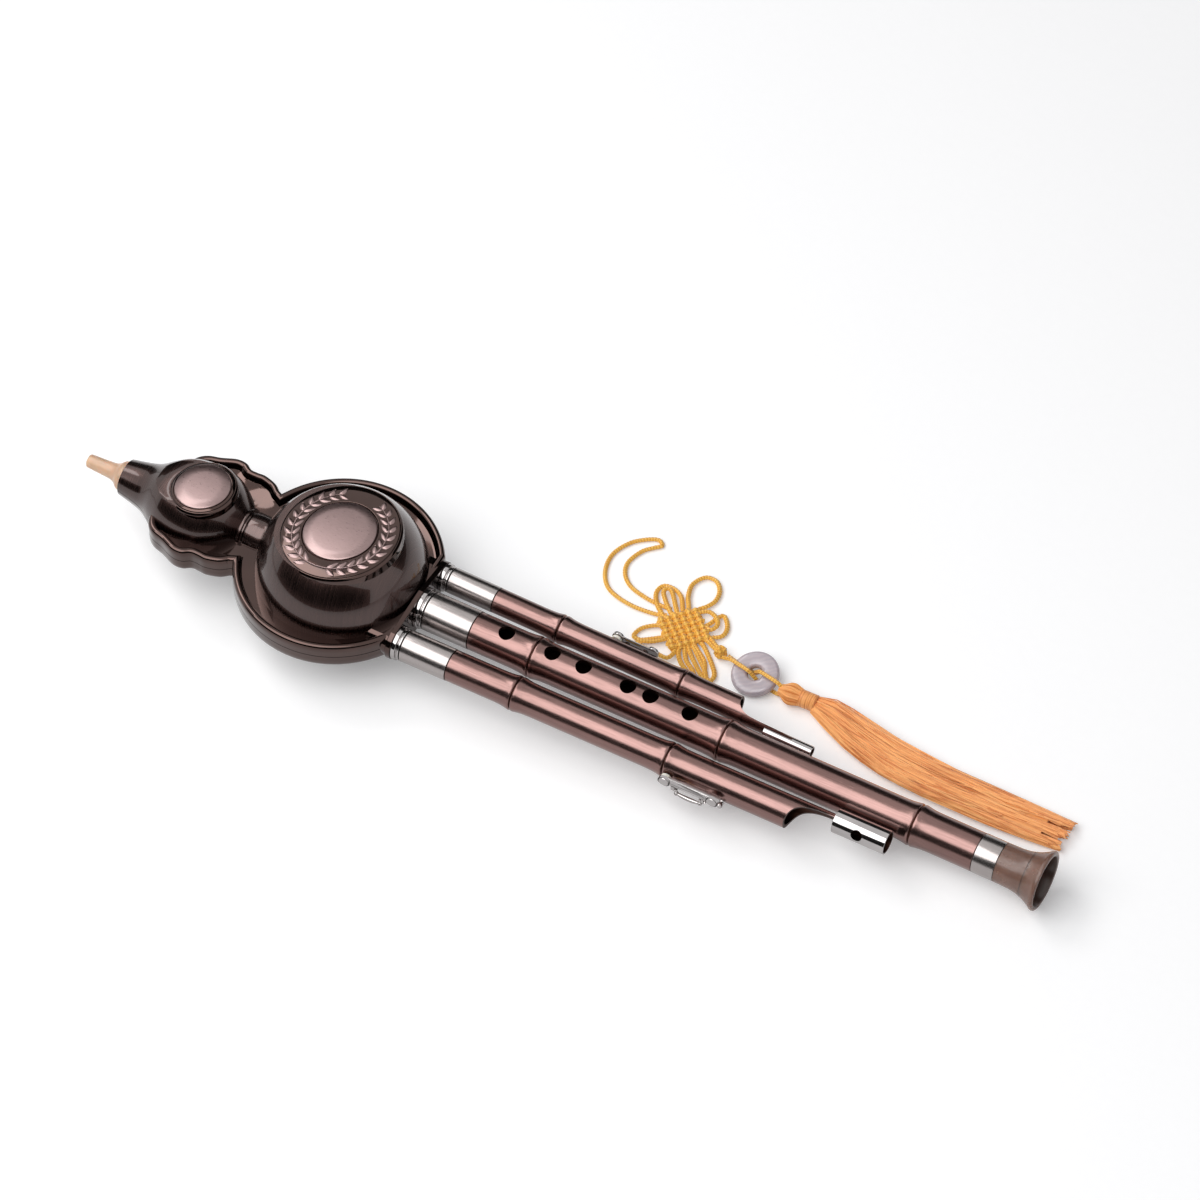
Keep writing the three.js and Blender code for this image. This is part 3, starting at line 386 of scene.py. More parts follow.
def raised(outline, steps=96, place=Matrix()):
    """A solid turned about a place's Z from an outline of [z, radius]."""
    return turned(spun(outline, steps), place @ UPRIGHT)


def tube(x0, x1, outer, inner, edge, steps=96):
    return spun(rounded([(x0, inner), (x0, outer), (x1, outer), (x1, inner)], edge), steps)


def rod(x0, x1, radius, steps=24):
    return spun([(x0, 0), (x0, radius), (x1, radius), (x1, 0)], steps)


def post(x, z0, z1, radius, segments=40):
    """An upright round bar."""
    bm = bmesh.new()
    bmesh.ops.create_cone(
        bm, cap_ends=True, segments=segments, radius1=radius, radius2=radius, depth=z1 - z0,
        matrix=shift(x, 0, (z0 + z1) / 2),
    )
    return bm


def block(x0, x1, y0, y1, z0, z1):
    bm = bmesh.new()
    middle = shift((x0 + x1) / 2, (y0 + y1) / 2, (z0 + z1) / 2)
    bmesh.ops.create_cube(bm, size=1, matrix=middle @ Matrix.Diagonal((x1 - x0, y1 - y0, z1 - z0, 1)))
    return bm


def ball(x, y, z, radius):
    bm = bmesh.new()
    bmesh.ops.create_uvsphere(
        bm, u_segments=20, v_segments=10, radius=radius, matrix=shift(x, y, z)
    )
    return bm


def slab(points, z0, z1):
    """A flat outline raised from z0 to z1."""
    bm = bmesh.new()
    face = bm.faces.new([bm.verts.new((x, y, z0)) for x, y in points])
    risen = bmesh.ops.extrude_face_region(bm, geom=[face])
    moved = [v for v in risen["geom"] if isinstance(v, bmesh.types.BMVert)]
    bmesh.ops.translate(bm, verts=moved, vec=(0, 0, z1 - z0))
    return outward(bm)


def skinned(bm, rings):
    """The solid through rings of edges, closed at both ends."""
    for a, b in zip(rings, rings[1:]):
        bmesh.ops.bridge_loops(bm, edges=a + b)
    for end in (rings[0], rings[-1]):
        bmesh.ops.edgeloop_fill(bm, edges=end)
    return outward(bm)


def together(*shapes):
    """One mesh that holds several shapes."""
    whole = bmesh.new()
    for shape in shapes:
        mesh = bpy.data.meshes.new("part")
        shape.to_mesh(mesh)
        shape.free()
        whole.from_mesh(mesh)
        bpy.data.meshes.remove(mesh)
    return whole


def in_scene(name, data):
    made = bpy.data.objects.new(name, data)
    bpy.context.scene.collection.objects.link(made)
    return made


def as_object(name, bm):
    mesh = bpy.data.meshes.new(name)
    bm.to_mesh(mesh)
    bm.free()
    return in_scene(name, mesh)


def carved(bm, tools, operation="DIFFERENCE"):
    """The shape after each tool is cut from it, joined to it or kept in common."""
    body, *cutters = [as_object("tool", shape) for shape in (bm, *tools)]
    for cutter in cutters:
        step = body.modifiers.new("carve", "BOOLEAN")
        step.operation, step.object, step.solver = operation, cutter, "EXACT"
    result = bmesh.new()
    result.from_object(body, bpy.context.evaluated_depsgraph_get())
    for spent in (body, *cutters):
        mesh = spent.data
        bpy.data.objects.remove(spent)
        bpy.data.meshes.remove(mesh)
    return result


BRAID_PITCH, PLAIT_PITCH = 2.6, 2.4


def along_route(points, radius, sides=12, braid=0.0, strand=0.0):
    """A round cord along a route, with its length and turn kept as the UV map."""
    bm = bmesh.new()
    uv = bm.loops.layers.uv.new("length")
    lift = Vector((0, 0, 1))
    last = len(points) - 1
    rings, marks, travelled = [], [], 0.0
    for i, here in enumerate(points):
        ahead = points[min(i + 1, last)] - points[max(i - 1, 0)]
        ahead.normalize()
        side = ahead.cross(lift)
        if side.length < 1e-3:
            side = ahead.cross(Vector((1, 0, 0)))
        side.normalize()
        lift = side.cross(ahead)
        if i:
            travelled += (here - points[i - 1]).length
        wide = radius(i / last) if callable(radius) else radius
        phase = 2 * math.pi * travelled / BRAID_PITCH
        ring = []
        for j in range(sides):
            angle = 2 * math.pi * j / sides
            waves = math.cos(2 * angle + phase) * math.cos(2 * angle - phase)
            out = side * math.cos(angle) + lift * math.sin(angle)
            ring.append(bm.verts.new(here + out * wide * (1 + braid * (waves - 0.5))))
        rings.append(ring)
        marks.append(travelled)
    for i in range(last):
        for j in range(sides):
            k = (j + 1) % sides
            face = bm.faces.new((rings[i][j], rings[i][k], rings[i + 1][k], rings[i + 1][j]))
            corners = ((j, i), (j + 1, i), (j + 1, i + 1), (j, i + 1))
            for loop, (across, place) in zip(face.loops, corners):
                loop[uv].uv = (across / sides + strand, marks[place])
    for ring in (rings[0], rings[-1]):
        bm.faces.new(ring)
    return outward(bm)


def even(points, step):
    """The same route with its points a step apart."""
    total = sum((b - a).length for a, b in zip(points, points[1:]))
    count = max(2, round(total / step))
    made, travelled, i = [points[0].copy()], 0.0, 0
    for k in range(1, count):
        target = total * k / count
        while travelled + (points[i + 1] - points[i]).length < target:
            travelled += (points[i + 1] - points[i]).length
            i += 1
        share = (target - travelled) / (points[i + 1] - points[i]).length
        made.append(points[i].lerp(points[i + 1], share))
    made.append(points[-1].copy())
    return made


def add(name, bm, place, body, finish, *nodes, slot=None, bevel=0.0, segments=2, inside=None):
    """Places a shape as a finished piece that rides on a body and replaces nodes."""
    piece = as_object(name, turned(bm, place @ WORK_SCALE))
    mesh = piece.data
    # A second finish, when given, is painted shade for the faces inside a bore or the bell.
    for look in filter(None, (finish, inside)):
        mesh.materials.append(finishes()[look])
    mesh.polygons.foreach_set("use_smooth", [True] * len(mesh.polygons))
    if bevel:
        edge = piece.modifiers.new("edges", "BEVEL")
        edge.width, edge.segments, edge.limit_method = bevel * MM, segments, "ANGLE"
        edge.angle_limit = math.radians(32)
        piece.modifiers.new("shading", "WEIGHTED_NORMAL").keep_sharp = True
    else:
        mesh.set_sharp_from_angle(angle=math.radians(38))
    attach(piece, body)
    if nodes:
        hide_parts(*nodes)
    return piece


def length(name, description, value):
    """A length of the panel, kept in metres."""
    return bpy.props.FloatProperty(
        name=name, description=description, default=value * MM, subtype="DISTANCE", min=0,
        precision=5,
    )


class HulusiSizes(bpy.types.PropertyGroup):
    """Sizes that a maker would change."""

    node_rise: length("Node rise", "How far a bamboo node stands off its pipe", NODE_RISE)
    finger_hole: length("Finger hole", "Radius of a finger hole", 3.4)
    yarn: length("Yarn", "Radius of a yarn of the tassel", 0.32)
    leaf: length("Leaf", "Length of a leaf of the wreath", 6.2)
    yarns: bpy.props.IntProperty(
        name="Yarns", description="Number of yarns in the tassel", default=616, min=LOCKS,
        subtype="UNSIGNED",
    )


def colour(name, description, value):
    return bpy.props.FloatVectorProperty(
        name=name, description=description, default=value, subtype="COLOR", size=3, min=0, max=1
    )


class HulusiColours(bpy.types.PropertyGroup):
    """Colours of the finishes."""

    gourd: colour("Gourd", "Brushed antique copper of the gourd", (0.062, 0.036, 0.032))
    disc: colour("Disc", "Satin copper of the raised discs", (0.27, 0.19, 0.183))
    polished: colour("Polished", "Mirror copper of the frame and medallions", (0.058, 0.03, 0.024))
    tube: colour("Tube", "Brushed rose copper of the pipes", (0.212, 0.124, 0.112))
    # Painted shade for the faces inside the pipes' bores and the tuning tubes.
    inside: colour("Inside", "Dark inside of the pipes", (0.05, 0.022, 0.015))
    ferrule: colour("Ferrule", "Satin metal of the ferrules", (0.38, 0.345, 0.335))
    chrome: colour("Chrome", "Polished metal of keys and collars", (0.44, 0.415, 0.41))
    brass: colour("Brass", "Brass of the reeds and springs", (0.6, 0.42, 0.14))
    holder: colour("Reed holder", "Plastic of the reed holders", (0.02, 0.014, 0.012))
    mouthpiece: colour("Mouthpiece", "Plastic of the mouthpiece", (0.76, 0.5, 0.34))
    bell: colour("Bell", "Plastic of the bell", (0.25, 0.14, 0.105))
    pad: colour("Pad", "Soft pads of the keys", (0.8, 0.74, 0.64))
    cord: colour("Cord", "Silk of the knot and cords", (0.96, 0.56, 0.09))
    # Painted shade for the furrows of the plaited cords, also the darker tone of their fibres.
    cord_shade: colour("Cord shade", "Furrows between the strands of the cords", (0.66, 0.27, 0.025))
    yarn_shade: colour("Yarn shade", "Darker yarns of the tassel", (0.62, 0.17, 0.02))
    yarn: colour("Yarn", "Silk of the tassel", (1.0, 0.5, 0.17))
    jade: colour("Jade", "Ground colour of the ring", (0.5, 0.43, 0.455))
    jade_band: colour("Jade band", "Bands of the ring", (0.455, 0.395, 0.43))


# Camera

AZIMUTH, ELEVATION, ROLL = 29.18, 53.5, -0.4
CAMERA_DISTANCE = 2500.0
CAMERA_TARGET = Vector((220.0, 0.0, 0.0))
TARGET_PIXEL = (556.86, 666.49)
PIXELS_PER_MM = 2.489
IMAGE_SIDE = 1200.0
SENSOR = 36.0
CARD_LENGTH, CARD_WIDTH = 6.0, 1.15
FLOOR_HALF = 12


def camera_place():
    a, e = math.radians(AZIMUTH), math.radians(ELEVATION)
    back = Vector((math.sin(a) * math.cos(e), -math.cos(a) * math.cos(e), math.sin(e)))
    right = Vector((math.cos(a), math.sin(a), 0))
    axes = Matrix((right, back.cross(right), back)).transposed().to_4x4() @ turn(ROLL, "Z")
    at = Matrix.Translation((CAMERA_TARGET + back * CAMERA_DISTANCE) * MM)
    return INSTRUMENT @ at @ axes


def softbox(name, place, aim, size, power):
    lamp = bpy.data.lights.new(name, "AREA")
    lamp.shape, lamp.energy = "RECTANGLE", power
    lamp.size, lamp.size_y = size
    made = in_scene(name, lamp)
    made.location = place
    made.rotation_euler = (Vector(aim) - Vector(place)).to_track_quat("-Z", "Y").to_euler()


def stage_plane(name, finish, size, place=Matrix(), segments=1):
    """A flat piece of the set."""
    bm = bmesh.new()
    bmesh.ops.create_grid(
        bm, x_segments=segments, y_segments=segments, size=size, matrix=place
    )
    plane = as_object(name, bm)
    plane.data.materials.append(finish.data)
    return plane


def dark_card(name, y, z, tilt):
    """A long dark card beside the set, which only polished surfaces reflect."""
    black = Finish(name).set(Base_Color=(0.01, 0.01, 0.01), Roughness=0.9)
    stretch = Matrix.Diagonal((CARD_LENGTH, CARD_WIDTH, 1, 1))
    card = stage_plane(name, black, 0.5, shift(0, y, z) @ turn(tilt, "X") @ stretch)
    card.visible_camera = card.visible_diffuse = card.visible_shadow = False
    card.visible_transmission = False


def floor_paper():
    """White paper that glows a little for the camera and in reflections."""
    paper = Finish("floor_paper")
    grain = paper.noise(300).between(0.3, 0.7)
    seen = paper.rays("Camera") + paper.rays("Glossy") * 0.4
    return paper.set(
        Base_Color=paper.blend(grain, (0.88, 0.88, 0.88), (0.89, 0.89, 0.89)),
        Roughness=0.8,
        Specular_IOR_Level=0.1,
        Emission_Color=paper.blend(seen, (0, 0, 0), (0.2, 0.2, 0.2)),
        Emission_Strength=1.0,
    )


def studio():
    """A world that lights the set in grey and is seen as white."""
    world = Finish("studio", world=True)
    nodes = world.tree.nodes
    nodes.remove(nodes["Background"])
    grey, white = (
        world.node("ShaderNodeBackground", {}, {"Color": colour, "Strength": 1.0})
        for colour in ((0.3, 0.3, 0.31), (1, 1, 1))
    )
    rays = {0: world.rays("Camera") + world.rays("Glossy"), 1: world.rays("Transmission")}
    seen = world.node("ShaderNodeMath", {"operation": "ADD", "use_clamp": True}, rays)
    mixed = world.node("ShaderNodeMixShader", {}, {0: seen, 1: grey, 2: white})
    world.feed(nodes["World Output"].inputs[0], mixed)
    return world.data


class HULUSI_OT_stage(bpy.types.Operator):
    """Adds the camera, the floor, the world and the softboxes"""

    bl_idname = "hulusi.stage"
    bl_label = "Stage"

    def execute(self, context):
        scene = context.scene
        scene.view_settings.view_transform = "Standard"
        lens = bpy.data.cameras.new("camera")
        lens.sensor_width = SENSOR
        lens.lens = PIXELS_PER_MM * CAMERA_DISTANCE * SENSOR / IMAGE_SIDE
        lens.shift_x = (IMAGE_SIDE / 2 - TARGET_PIXEL[0]) / IMAGE_SIDE
        lens.shift_y = (TARGET_PIXEL[1] - IMAGE_SIDE / 2) / IMAGE_SIDE
        lens.clip_end = 100
        scene.camera = in_scene("camera", lens)
        scene.camera.matrix_world = camera_place()
        stage_plane("floor", floor_paper(), FLOOR_HALF, segments=2)
        scene.world = studio()
        softbox("main", (-0.34, -0.62, 1.25), (0, 0, 0), (1.5, 1.3), 17)
        softbox("back_left", (-1.0, 0.32, 1.3), (-0.1, 0, 0), (0.8, 0.5), 5)
        dark_card("near_card", -1.41, 0.53, 70)
        dark_card("far_card", 1.4, 0.6, -67)
        return {"FINISHED"}


# Cords of the ornament, in the floor's frame

CORD_RADIUS = 0.97
CORD_HEIGHT = 1.02
LOOP_ROUTE = [
    (238.2, 57.8), (234, 56.2), (224, 55.6), (214.7, 57.3), (208.6, 60.7), (204.3, 67.6),
    (203.2, 76), (206.6, 84), (212, 88.9), (216.6, 90.9), (219.2, 88.9), (216.8, 86.4),
    (213.2, 82.4), (210.9, 75), (212.8, 68.9), (217.9, 64.3), (225.5, 62), (232, 61.2),
    (238.4, 61.2),
]
RING_CENTRE = (286.0, 45.3)
RING_RADIUS, RING_HOLE, RING_THICK = 10.0, 3.1, 4.0
RING_TURN, RING_LEAN = -11.5, 13.5
STRAND_OFFSET = 1.15
OVER_RING = [(-9.8, 5.25), (-7, 5.2), (-4.4, 5.2), (-2.9, 5.1), (-1.8, 4.6), (-1.15, 3.6)]
UNDER_RING = [(-along, RING_THICK - height) for along, height in reversed(OVER_RING)]
DOWN_STRAND = [
    (-15.8, 1.6), (-13.9, 3), (-11.8, 4.6), *OVER_RING, (0, 2), *UNDER_RING, (12, -0.7),
    (13.2, 0.3), (14, 1.2),
]
UP_STRAND = [
    (-15.6, -0.6), (-13, -1.15), *[(-a, h) for a, h in reversed(UNDER_RING)], (0, 2),
    *[(-a, h) for a, h in reversed(OVER_RING)], (11.6, 4.6), (13, 3.6), (14, 2.8),
]


def ring_seat():
    """The tilted ring's own frame, in millimetres."""
    height = GAP / 2 + RING_RADIUS * math.sin(math.radians(RING_LEAN))
    return shift(*RING_CENTRE, height) @ turn(RING_TURN, "Z") @ turn(RING_LEAN, "X")


def free_cord(name, route, node):
    """A braided cord of the ornament, whose length along its path is worked out but not used."""
    points = even(smooth_line(route, 8), 0.35)
    shape = along_route(points, CORD_RADIUS, 16, 0.2)
    cord = add(name, shape, *ORNAMENT, "silk_cord", node)
    path = [FLOOR @ (point * MM) for point in points]
    length = sum((b - a).length for a, b in zip(path, path[1:]))


class HULUSI_OT_cords(bpy.types.Operator):
    """Lays the hanging loop and the two strands that cross in the stone ring"""

    bl_idname = "hulusi.cords"
    bl_label = "Cords"

    def execute(self, context):
        loop = [(x, y, CORD_HEIGHT) for x, y in LOOP_ROUTE]
        free_cord("hanging_loop", loop, "ornament_loop_cord")
        seat = ring_seat()
        strands = ((DOWN_STRAND, -STRAND_OFFSET), (UP_STRAND, STRAND_OFFSET))
        for i, (route, offset) in enumerate(strands, 1):
            points = [seat @ Vector((along, offset, height)) for along, height in route]
            free_cord(f"ring_strand_{i}", points, f"ornament_ring_cord_{i}")
        return {"FINISHED"}


# Gourd

COLLAR_X, SMALL_BULB_X, NECK_X, BULB_X = 18.3, 54.5, 75.0, 120.5
SMALL_BULB, NECK, BULB = 20.0, 9.0, 36.0
WIDEST = 0.64
STEM_SHARE = [
    (0, -0.1), (0.157, 0.075), (0.24, 0.24), (0.33, 0.55), (0.42, 0.81), (0.52, 0.955), (0.64, 1),
    (0.75, 0.925), (0.84, 0.72), (0.92, 0.42), (1, 0),
]
NECK_RIDGE = [(0.3, 9.5), (0.8, 9.65), (1.3, 9.5), (1.6, 8.45), (2.1, 8.35), (2.6, 8.8), (3.4, 9.0)]
NECK_END = [(83.4, 9.0), (84.8, 8.9)]
WING_SHARE = [
    (0.03, 0.76), (0.1, 0.84), (0.2, 0.89), (0.34, 0.985), (0.44, 0.98), (0.51, 0.91),
    (0.58, 0.905), (0.66, 0.91), (0.78, 0.85),
]
FRAME_X, FRAME_LONG, FRAME_WIDE = 118.993, 43.0, 44.2
LIP = [
    (0, 0.15), (0, 2.5), (0, 4.3), (0.2, 5.1), (0.75, 5.75), (1.5, 6.0), (2.2, 5.85), (2.85, 5.3),
    (3.2, 4.5), (3.4, 3.4), (3.8, 2.8), (4.6, 2.6),
]
SPLIT, REACH, BORE_END = 0.15, 60, 170
REST_DEPTH, REST_HALF = 27, 40
LARGE = Part(
    name="large", place=INSTRUMENT @ millimetres(120.5, 0, 26.6) @ turn(-6.5, "Y"), flat=36,
    pocket=24.6, boss=25.7, depth=9, steps=128, edge=0.2,
    plate=[
        (-0.9, 0), (-0.9, 24.3), (0, 24.3), (0.2, 21.5), (0.34, 18.5), (0.42, 15.8), (-0.3, 15.6),
        (-0.3, 0),
    ],
    disc=[(-0.5, 0), (-0.5, 15.3), (0.6, 15.3), (0.9, 14.7), (1.15, 11), (1.35, 5), (1.4, 0)],
)
SMALL = Part(
    name="small", place=INSTRUMENT @ millimetres(55.5, 0, 15.8) @ turn(-6, "Y"), flat=20,
    pocket=13.4, boss=14.5, depth=5, steps=96, edge=0.12,
    plate=[(-0.9, 0), (-0.9, 13.1), (0, 13.1), (0.45, 12.2), (0, 12.1), (0, 0)],
    disc=[(-0.2, 0), (-0.2, 11.8), (0.7, 11.8), (0.95, 11.3), (1.2, 7), (1.35, 0)],
)
MEDALS = (LARGE, SMALL)


def stem_outline():
    """The gourd's side from the mouthpiece over the small bulb to the neck."""
    outline = []
    for along, across in STEM_SHARE:
        if along < WIDEST:
            x = COLLAR_X + (SMALL_BULB_X - COLLAR_X) * along / WIDEST
        else:
            x = SMALL_BULB_X + (NECK_X - SMALL_BULB_X) * (along - WIDEST) / (1 - WIDEST)
        outline.append((x, NECK + across * (SMALL_BULB - NECK)))
    return smooth_line(outline)


def gourd_outline():
    ridge = [(NECK_X + along, radius) for along, radius in NECK_RIDGE]
    first, last = math.asin(NECK / BULB), math.acos((BULB_X - SOCKET_X) / BULB)
    bulb = arc(BULB_X, -BULB, BULB, first, last, 48)
    return [(COLLAR_X, 0), *stem_outline(), *ridge, *NECK_END, *bulb, (SOCKET_X, 0)]


def frame_outline():
    """Half of the frame's edge on the +Y side, from the stem to the pipes."""
    wing = [(40 + 46 * along, 27.2 * across) for along, across in WING_SHARE]
    wing = [(38, 6), (38.2, 12), (39.3, 17.4), *wing, (79.2, 20.6)]
    start, end = (math.acos((x - FRAME_X) / FRAME_LONG) for x in (80.6, SOCKET_X))
    return [*smooth_line(wing, 5), *arc(FRAME_X, FRAME_LONG, FRAME_WIDE, start, end, 60)]


def inset_loop(loop, inset):
    """The closed outline moved inwards by an inset."""
    corners = [Vector(corner) for corner in loop]
    moved = []
    for i, here in enumerate(corners):
        back = (here - corners[i - 1]).normalized()
        ahead = (corners[(i + 1) % len(corners)] - here).normalized()
        normal = Vector((back.y + ahead.y, -back.x - ahead.x)).normalized()
        open_share = max(0.55, normal.dot(Vector((ahead.y, -ahead.x))))
        moved.append(here + normal * inset / open_share)
    return moved


def frame_half(side):
    """The ring round the large bulb and the two wings, on the front or the rear."""
    upper = frame_outline()
    loop = [*upper, *[(x, -y) for x, y in reversed(upper)]]
    bm = bmesh.new()
    rings = []
    for inset, height in LIP:
        ring = [bm.verts.new((x, y, height * side)) for x, y in inset_loop(loop, inset)]
        rings.append([bm.edges.new((ring[i - 1], ring[i])) for i in range(len(ring))])
    return skinned(bm, rings)


def medal_seat(radius, depth):
    """The polished rim of a medallion's boss."""
    pocket = radius - 1.1
    outline = [(-depth, pocket), (-depth, radius), (-0.9, radius), (0, pocket + 0.3), (0, pocket)]
    return raised(rounded(outline, 0.3), 128)


def set_in(bm, place):
    """Moves a shape from a place's frame to the instrument's, in millimetres."""
    local = INSTRUMENT.inverted() @ place
    local.translation /= MM
    return turned(bm, local)


def pipe_bores(x0, steps):
    """What the three reed holders pass through."""
    return [set_in(rod(x0, BORE_END, pipe.bore, steps), pipe.place) for pipe in PIPES]


class HULUSI_OT_gourd(bpy.types.Operator):
    """Builds the gourd's two plated halves, their frame and the bosses for the medallions"""

    bl_idname = "hulusi.gourd"
    bl_label = "Gourd"

    def execute(self, context):
        for half, side in (("front", 1), ("back", -1)):
            bores = [*pipe_bores(126, 48), rod(10, 33.5, 4.3, 48)]
            low, high = sorted((SPLIT * side, REACH * side))
            body = carved(spun(gourd_outline(), 144), bores)
            body = carved(body, [block(0, BORE_END, -REACH, REACH, low, high)], "INTERSECT")
            if side > 0:
                cuts = [(block(-m.flat, m.flat, -m.flat, m.flat, 0, m.flat), m) for m in MEDALS]
                cuts += [(post(0, -1.2, 3, m.pocket, 96), m) for m in MEDALS]
                tools = [set_in(cut, medal.place) for cut, medal in cuts]
            else:
                land = shift(BULB_X, 0, -REST_DEPTH) @ Matrix.Rotation(-LEAN, 4, "Y")
                floor = block(-REST_HALF, REST_HALF, -REST_HALF, REST_HALF, -REST_HALF, 0)
                tools = [turned(floor, land)]
            body = carved(body, tools)
            add(f"gourd_{half}", body, *GOURD, "plated_gourd", f"gourd_{half}_shell")
            add(f"gourd_frame_{half}", frame_half(side), *GOURD, "polished_copper")
        for medal in MEDALS:
            rim = medal_seat(medal.boss, medal.depth)
            add(f"{medal.name}_boss", rim, medal.place, "gourd", "polished_copper")
        return {"FINISHED"}


# Medallions

BRANCH, BRANCH_POINTS, LEAVES = 19.8, 28, 12
BRANCH_FROM, BRANCH_SWEEP, LEAF_FROM, LEAF_SWEEP = -97, 163, -82, 148
LEAF_PAIR, LEAF_WIDTH, LEAF_RISE = ((42, 1.0), (-38, 0.92)), 2.7, 0.6


def leaf(length, width, rise):
    """A small pointed leaf lying along X."""
    bm = bmesh.new()
    bmesh.ops.create_grid(bm, x_segments=6, y_segments=4, size=0.5)
    for vert in bm.verts:
        along, across = vert.co.x + 0.5, vert.co.y * 2
        spread = math.sin(math.pi * min(1.0, along**0.8)) ** 0.75
        ridge = 1 - 0.25 * (1 - abs(across))
        vert.co = Vector((
            along * length,
            across * spread * width / 2,
            rise * (1 - across * across) * ridge * (0.35 + 0.65 * math.sin(math.pi * along) ** 0.5),
        ))
    under = bmesh.ops.extrude_face_region(bm, geom=bm.faces[:])
    for vert in under["geom"]:
        if isinstance(vert, bmesh.types.BMVert):
            vert.co.z = -0.3
    bmesh.ops.remove_doubles(bm, verts=bm.verts, dist=1e-3)
    return outward(bm)


def wreath(size):
    """Two leafy branches that rise from the lower edge round the inner disc."""
    parts = []
    for side in (1, -1):
        stem = []
        for i in range(BRANCH_POINTS):
            angle = math.radians(BRANCH_FROM + BRANCH_SWEEP * i / (BRANCH_POINTS - 1))
            stem.append(Vector((side * BRANCH * math.cos(angle), BRANCH * math.sin(angle), 0.35)))
        parts.append(along_route(stem, lambda share: 0.42 - 0.24 * share, 6))
        for i in range(LEAVES):
            share = (i + 0.4) / LEAVES
            angle = math.radians(LEAF_FROM + LEAF_SWEEP * share)
            at = shift(BRANCH * math.cos(angle), BRANCH * math.sin(angle), 0.2)
            for lean, reach in LEAF_PAIR:
                width = LEAF_WIDTH * (1 - 0.15 * share)
                shape = leaf(size * reach * (1 - 0.2 * share), width, LEAF_RISE)
                turned(shape, at @ turn(math.degrees(angle) + 90 + lean, "Z"))
                if side < 0:
                    turned(shape, Matrix.Diagonal((-1, 1, 1, 1)))
                    bmesh.ops.reverse_faces(shape, faces=shape.faces)
                parts.append(shape)
    return together(*parts)


class HULUSI_OT_medallions(bpy.types.Operator):
    """Sets the two polished medallions, their satin discs and the leafy wreath"""

    bl_idname = "hulusi.medallions"
    bl_label = "Medallions"

    def execute(self, context):
        self.medal(LARGE)
        leaves = wreath(context.scene.hulusi_sizes.leaf / MM)
        add("medallion_wreath", leaves, LARGE.place, "gourd", "disc_satin", slot="polished_copper")
        self.medal(SMALL)
        return {"FINISHED"}

    def medal(self, medal):
        name, on_gourd = medal.name, (medal.place, "gourd")
        shape = raised(rounded(medal.plate, medal.edge), medal.steps)
        add(f"{name}_medallion", shape, *on_gourd, "polished_copper", f"front_{name}_medallion")
        shape = raised(rounded(medal.disc, 0.3, False), medal.steps)
        add(f"{name}_disc", shape, *on_gourd, "disc_satin", slot="polished_copper")


# Sockets, pipes and reeds

BLOCK_X, PLATE_START, PLATE_END = 146.5, 155.8, 158.0
COLLAR_STEPS = [
    (158.1, 0.6), (159.9, 0.6), (160.1, -0.35), (160.5, -0.35), (160.7, 0.1), (161.5, 0.1),
]


def hull_block(margin, x0, x1, height=None):
    """A block with straight sides round the three pipes' circles."""
    bm = bmesh.new()
    for x in (x0, x1):
        for pipe in (NEAR, MELODY, FAR):
            place = shift(x, pipe.y) @ turn(90, "Y")
            bmesh.ops.create_circle(bm, segments=48, radius=pipe.radius + margin, matrix=place)
    bmesh.ops.convex_hull(bm, input=bm.verts)
    bmesh.ops.delete(bm, geom=[v for v in bm.verts if not v.link_faces], context="VERTS")
    bmesh.ops.dissolve_limit(bm, angle_limit=math.radians(1), verts=bm.verts, edges=bm.edges)
    outward(bm)
    if height:
        layer = block(x0 - 1, x1 + 1, -REACH, REACH, -height, height)
        bm = carved(bm, [layer], "INTERSECT")
    return bm


class HULUSI_OT_sockets(bpy.types.Operator):
    """Builds the socket end of the gourd, its end plate and the chrome collars"""

    bl_idname = "hulusi.sockets"
    bl_label = "Sockets"

    def execute(self, context):
        base = carved(hull_block(0, BLOCK_X, SOCKET_X, 6), pipe_bores(140, 64))
        add("socket_block", base, *GOURD, "polished_copper", bevel=1.4, segments=4)
        cap = carved(hull_block(0.9, PLATE_START, PLATE_END), pipe_bores(140, 64))
        add(
            "socket_plate", cap, *GOURD, "polished_copper", "pipe_socket_cap",
            bevel=0.45, segments=3,
        )
        for pipe in PIPES:
            steps = [(x, pipe.radius + rise) for x, rise in COLLAR_STEPS]
            outline = [(steps[0][0], pipe.bore), *steps, (steps[-1][0], pipe.bore)]
            collar, node = spun(rounded(outline, 0.3)), f"{pipe.name}_socket_collar"
            add(f"{pipe.name}_collar", collar, pipe.place, "gourd", "chrome_fitting", node)
        return {"FINISHED"}


NODE_HALF = [
    (-9, 0), (-7, 0.05), (-5, 0.18), (-3.4, 0.42), (-2.2, 0.7), (-1.4, 0.94), (-0.9, 1.02),
    (-0.55, 0.92), (-0.32, 0.6), (-0.16, -0.3),
]
NODE_CURVE = [*NODE_HALF, *[(-x, rise) for x, rise in reversed(NODE_HALF)]]
NODE_REACH = 9
TONGUE_CURVE = [
    (0, -1.3), (0, -1), (0.01, -0.62), (0.06, -0.2), (0.16, 0.16), (0.3, 0.4), (0.5, 0.56),
    (0.75, 0.66), (1, 0.7),
]
TONGUE_EDGE = [(0.45, 1.15), (0.6, 0.94), (0.8, 0.8), (1.1, 0.7), (1.6, 0.64), (2.4, 0.61)]
FINGER_HOLES = (197.1, 218.1, 232.3, 252.5, 262.7, 280.5)
THUMB_HOLE = 204
MELODY_NODES = (210.6, 296.8, 382.1)
SEAM_X, FERRULE_X = 182.6, 162.0
MELODY_END, END_SLEEVE, BELL_END = 419.0, 9.3, 438.5
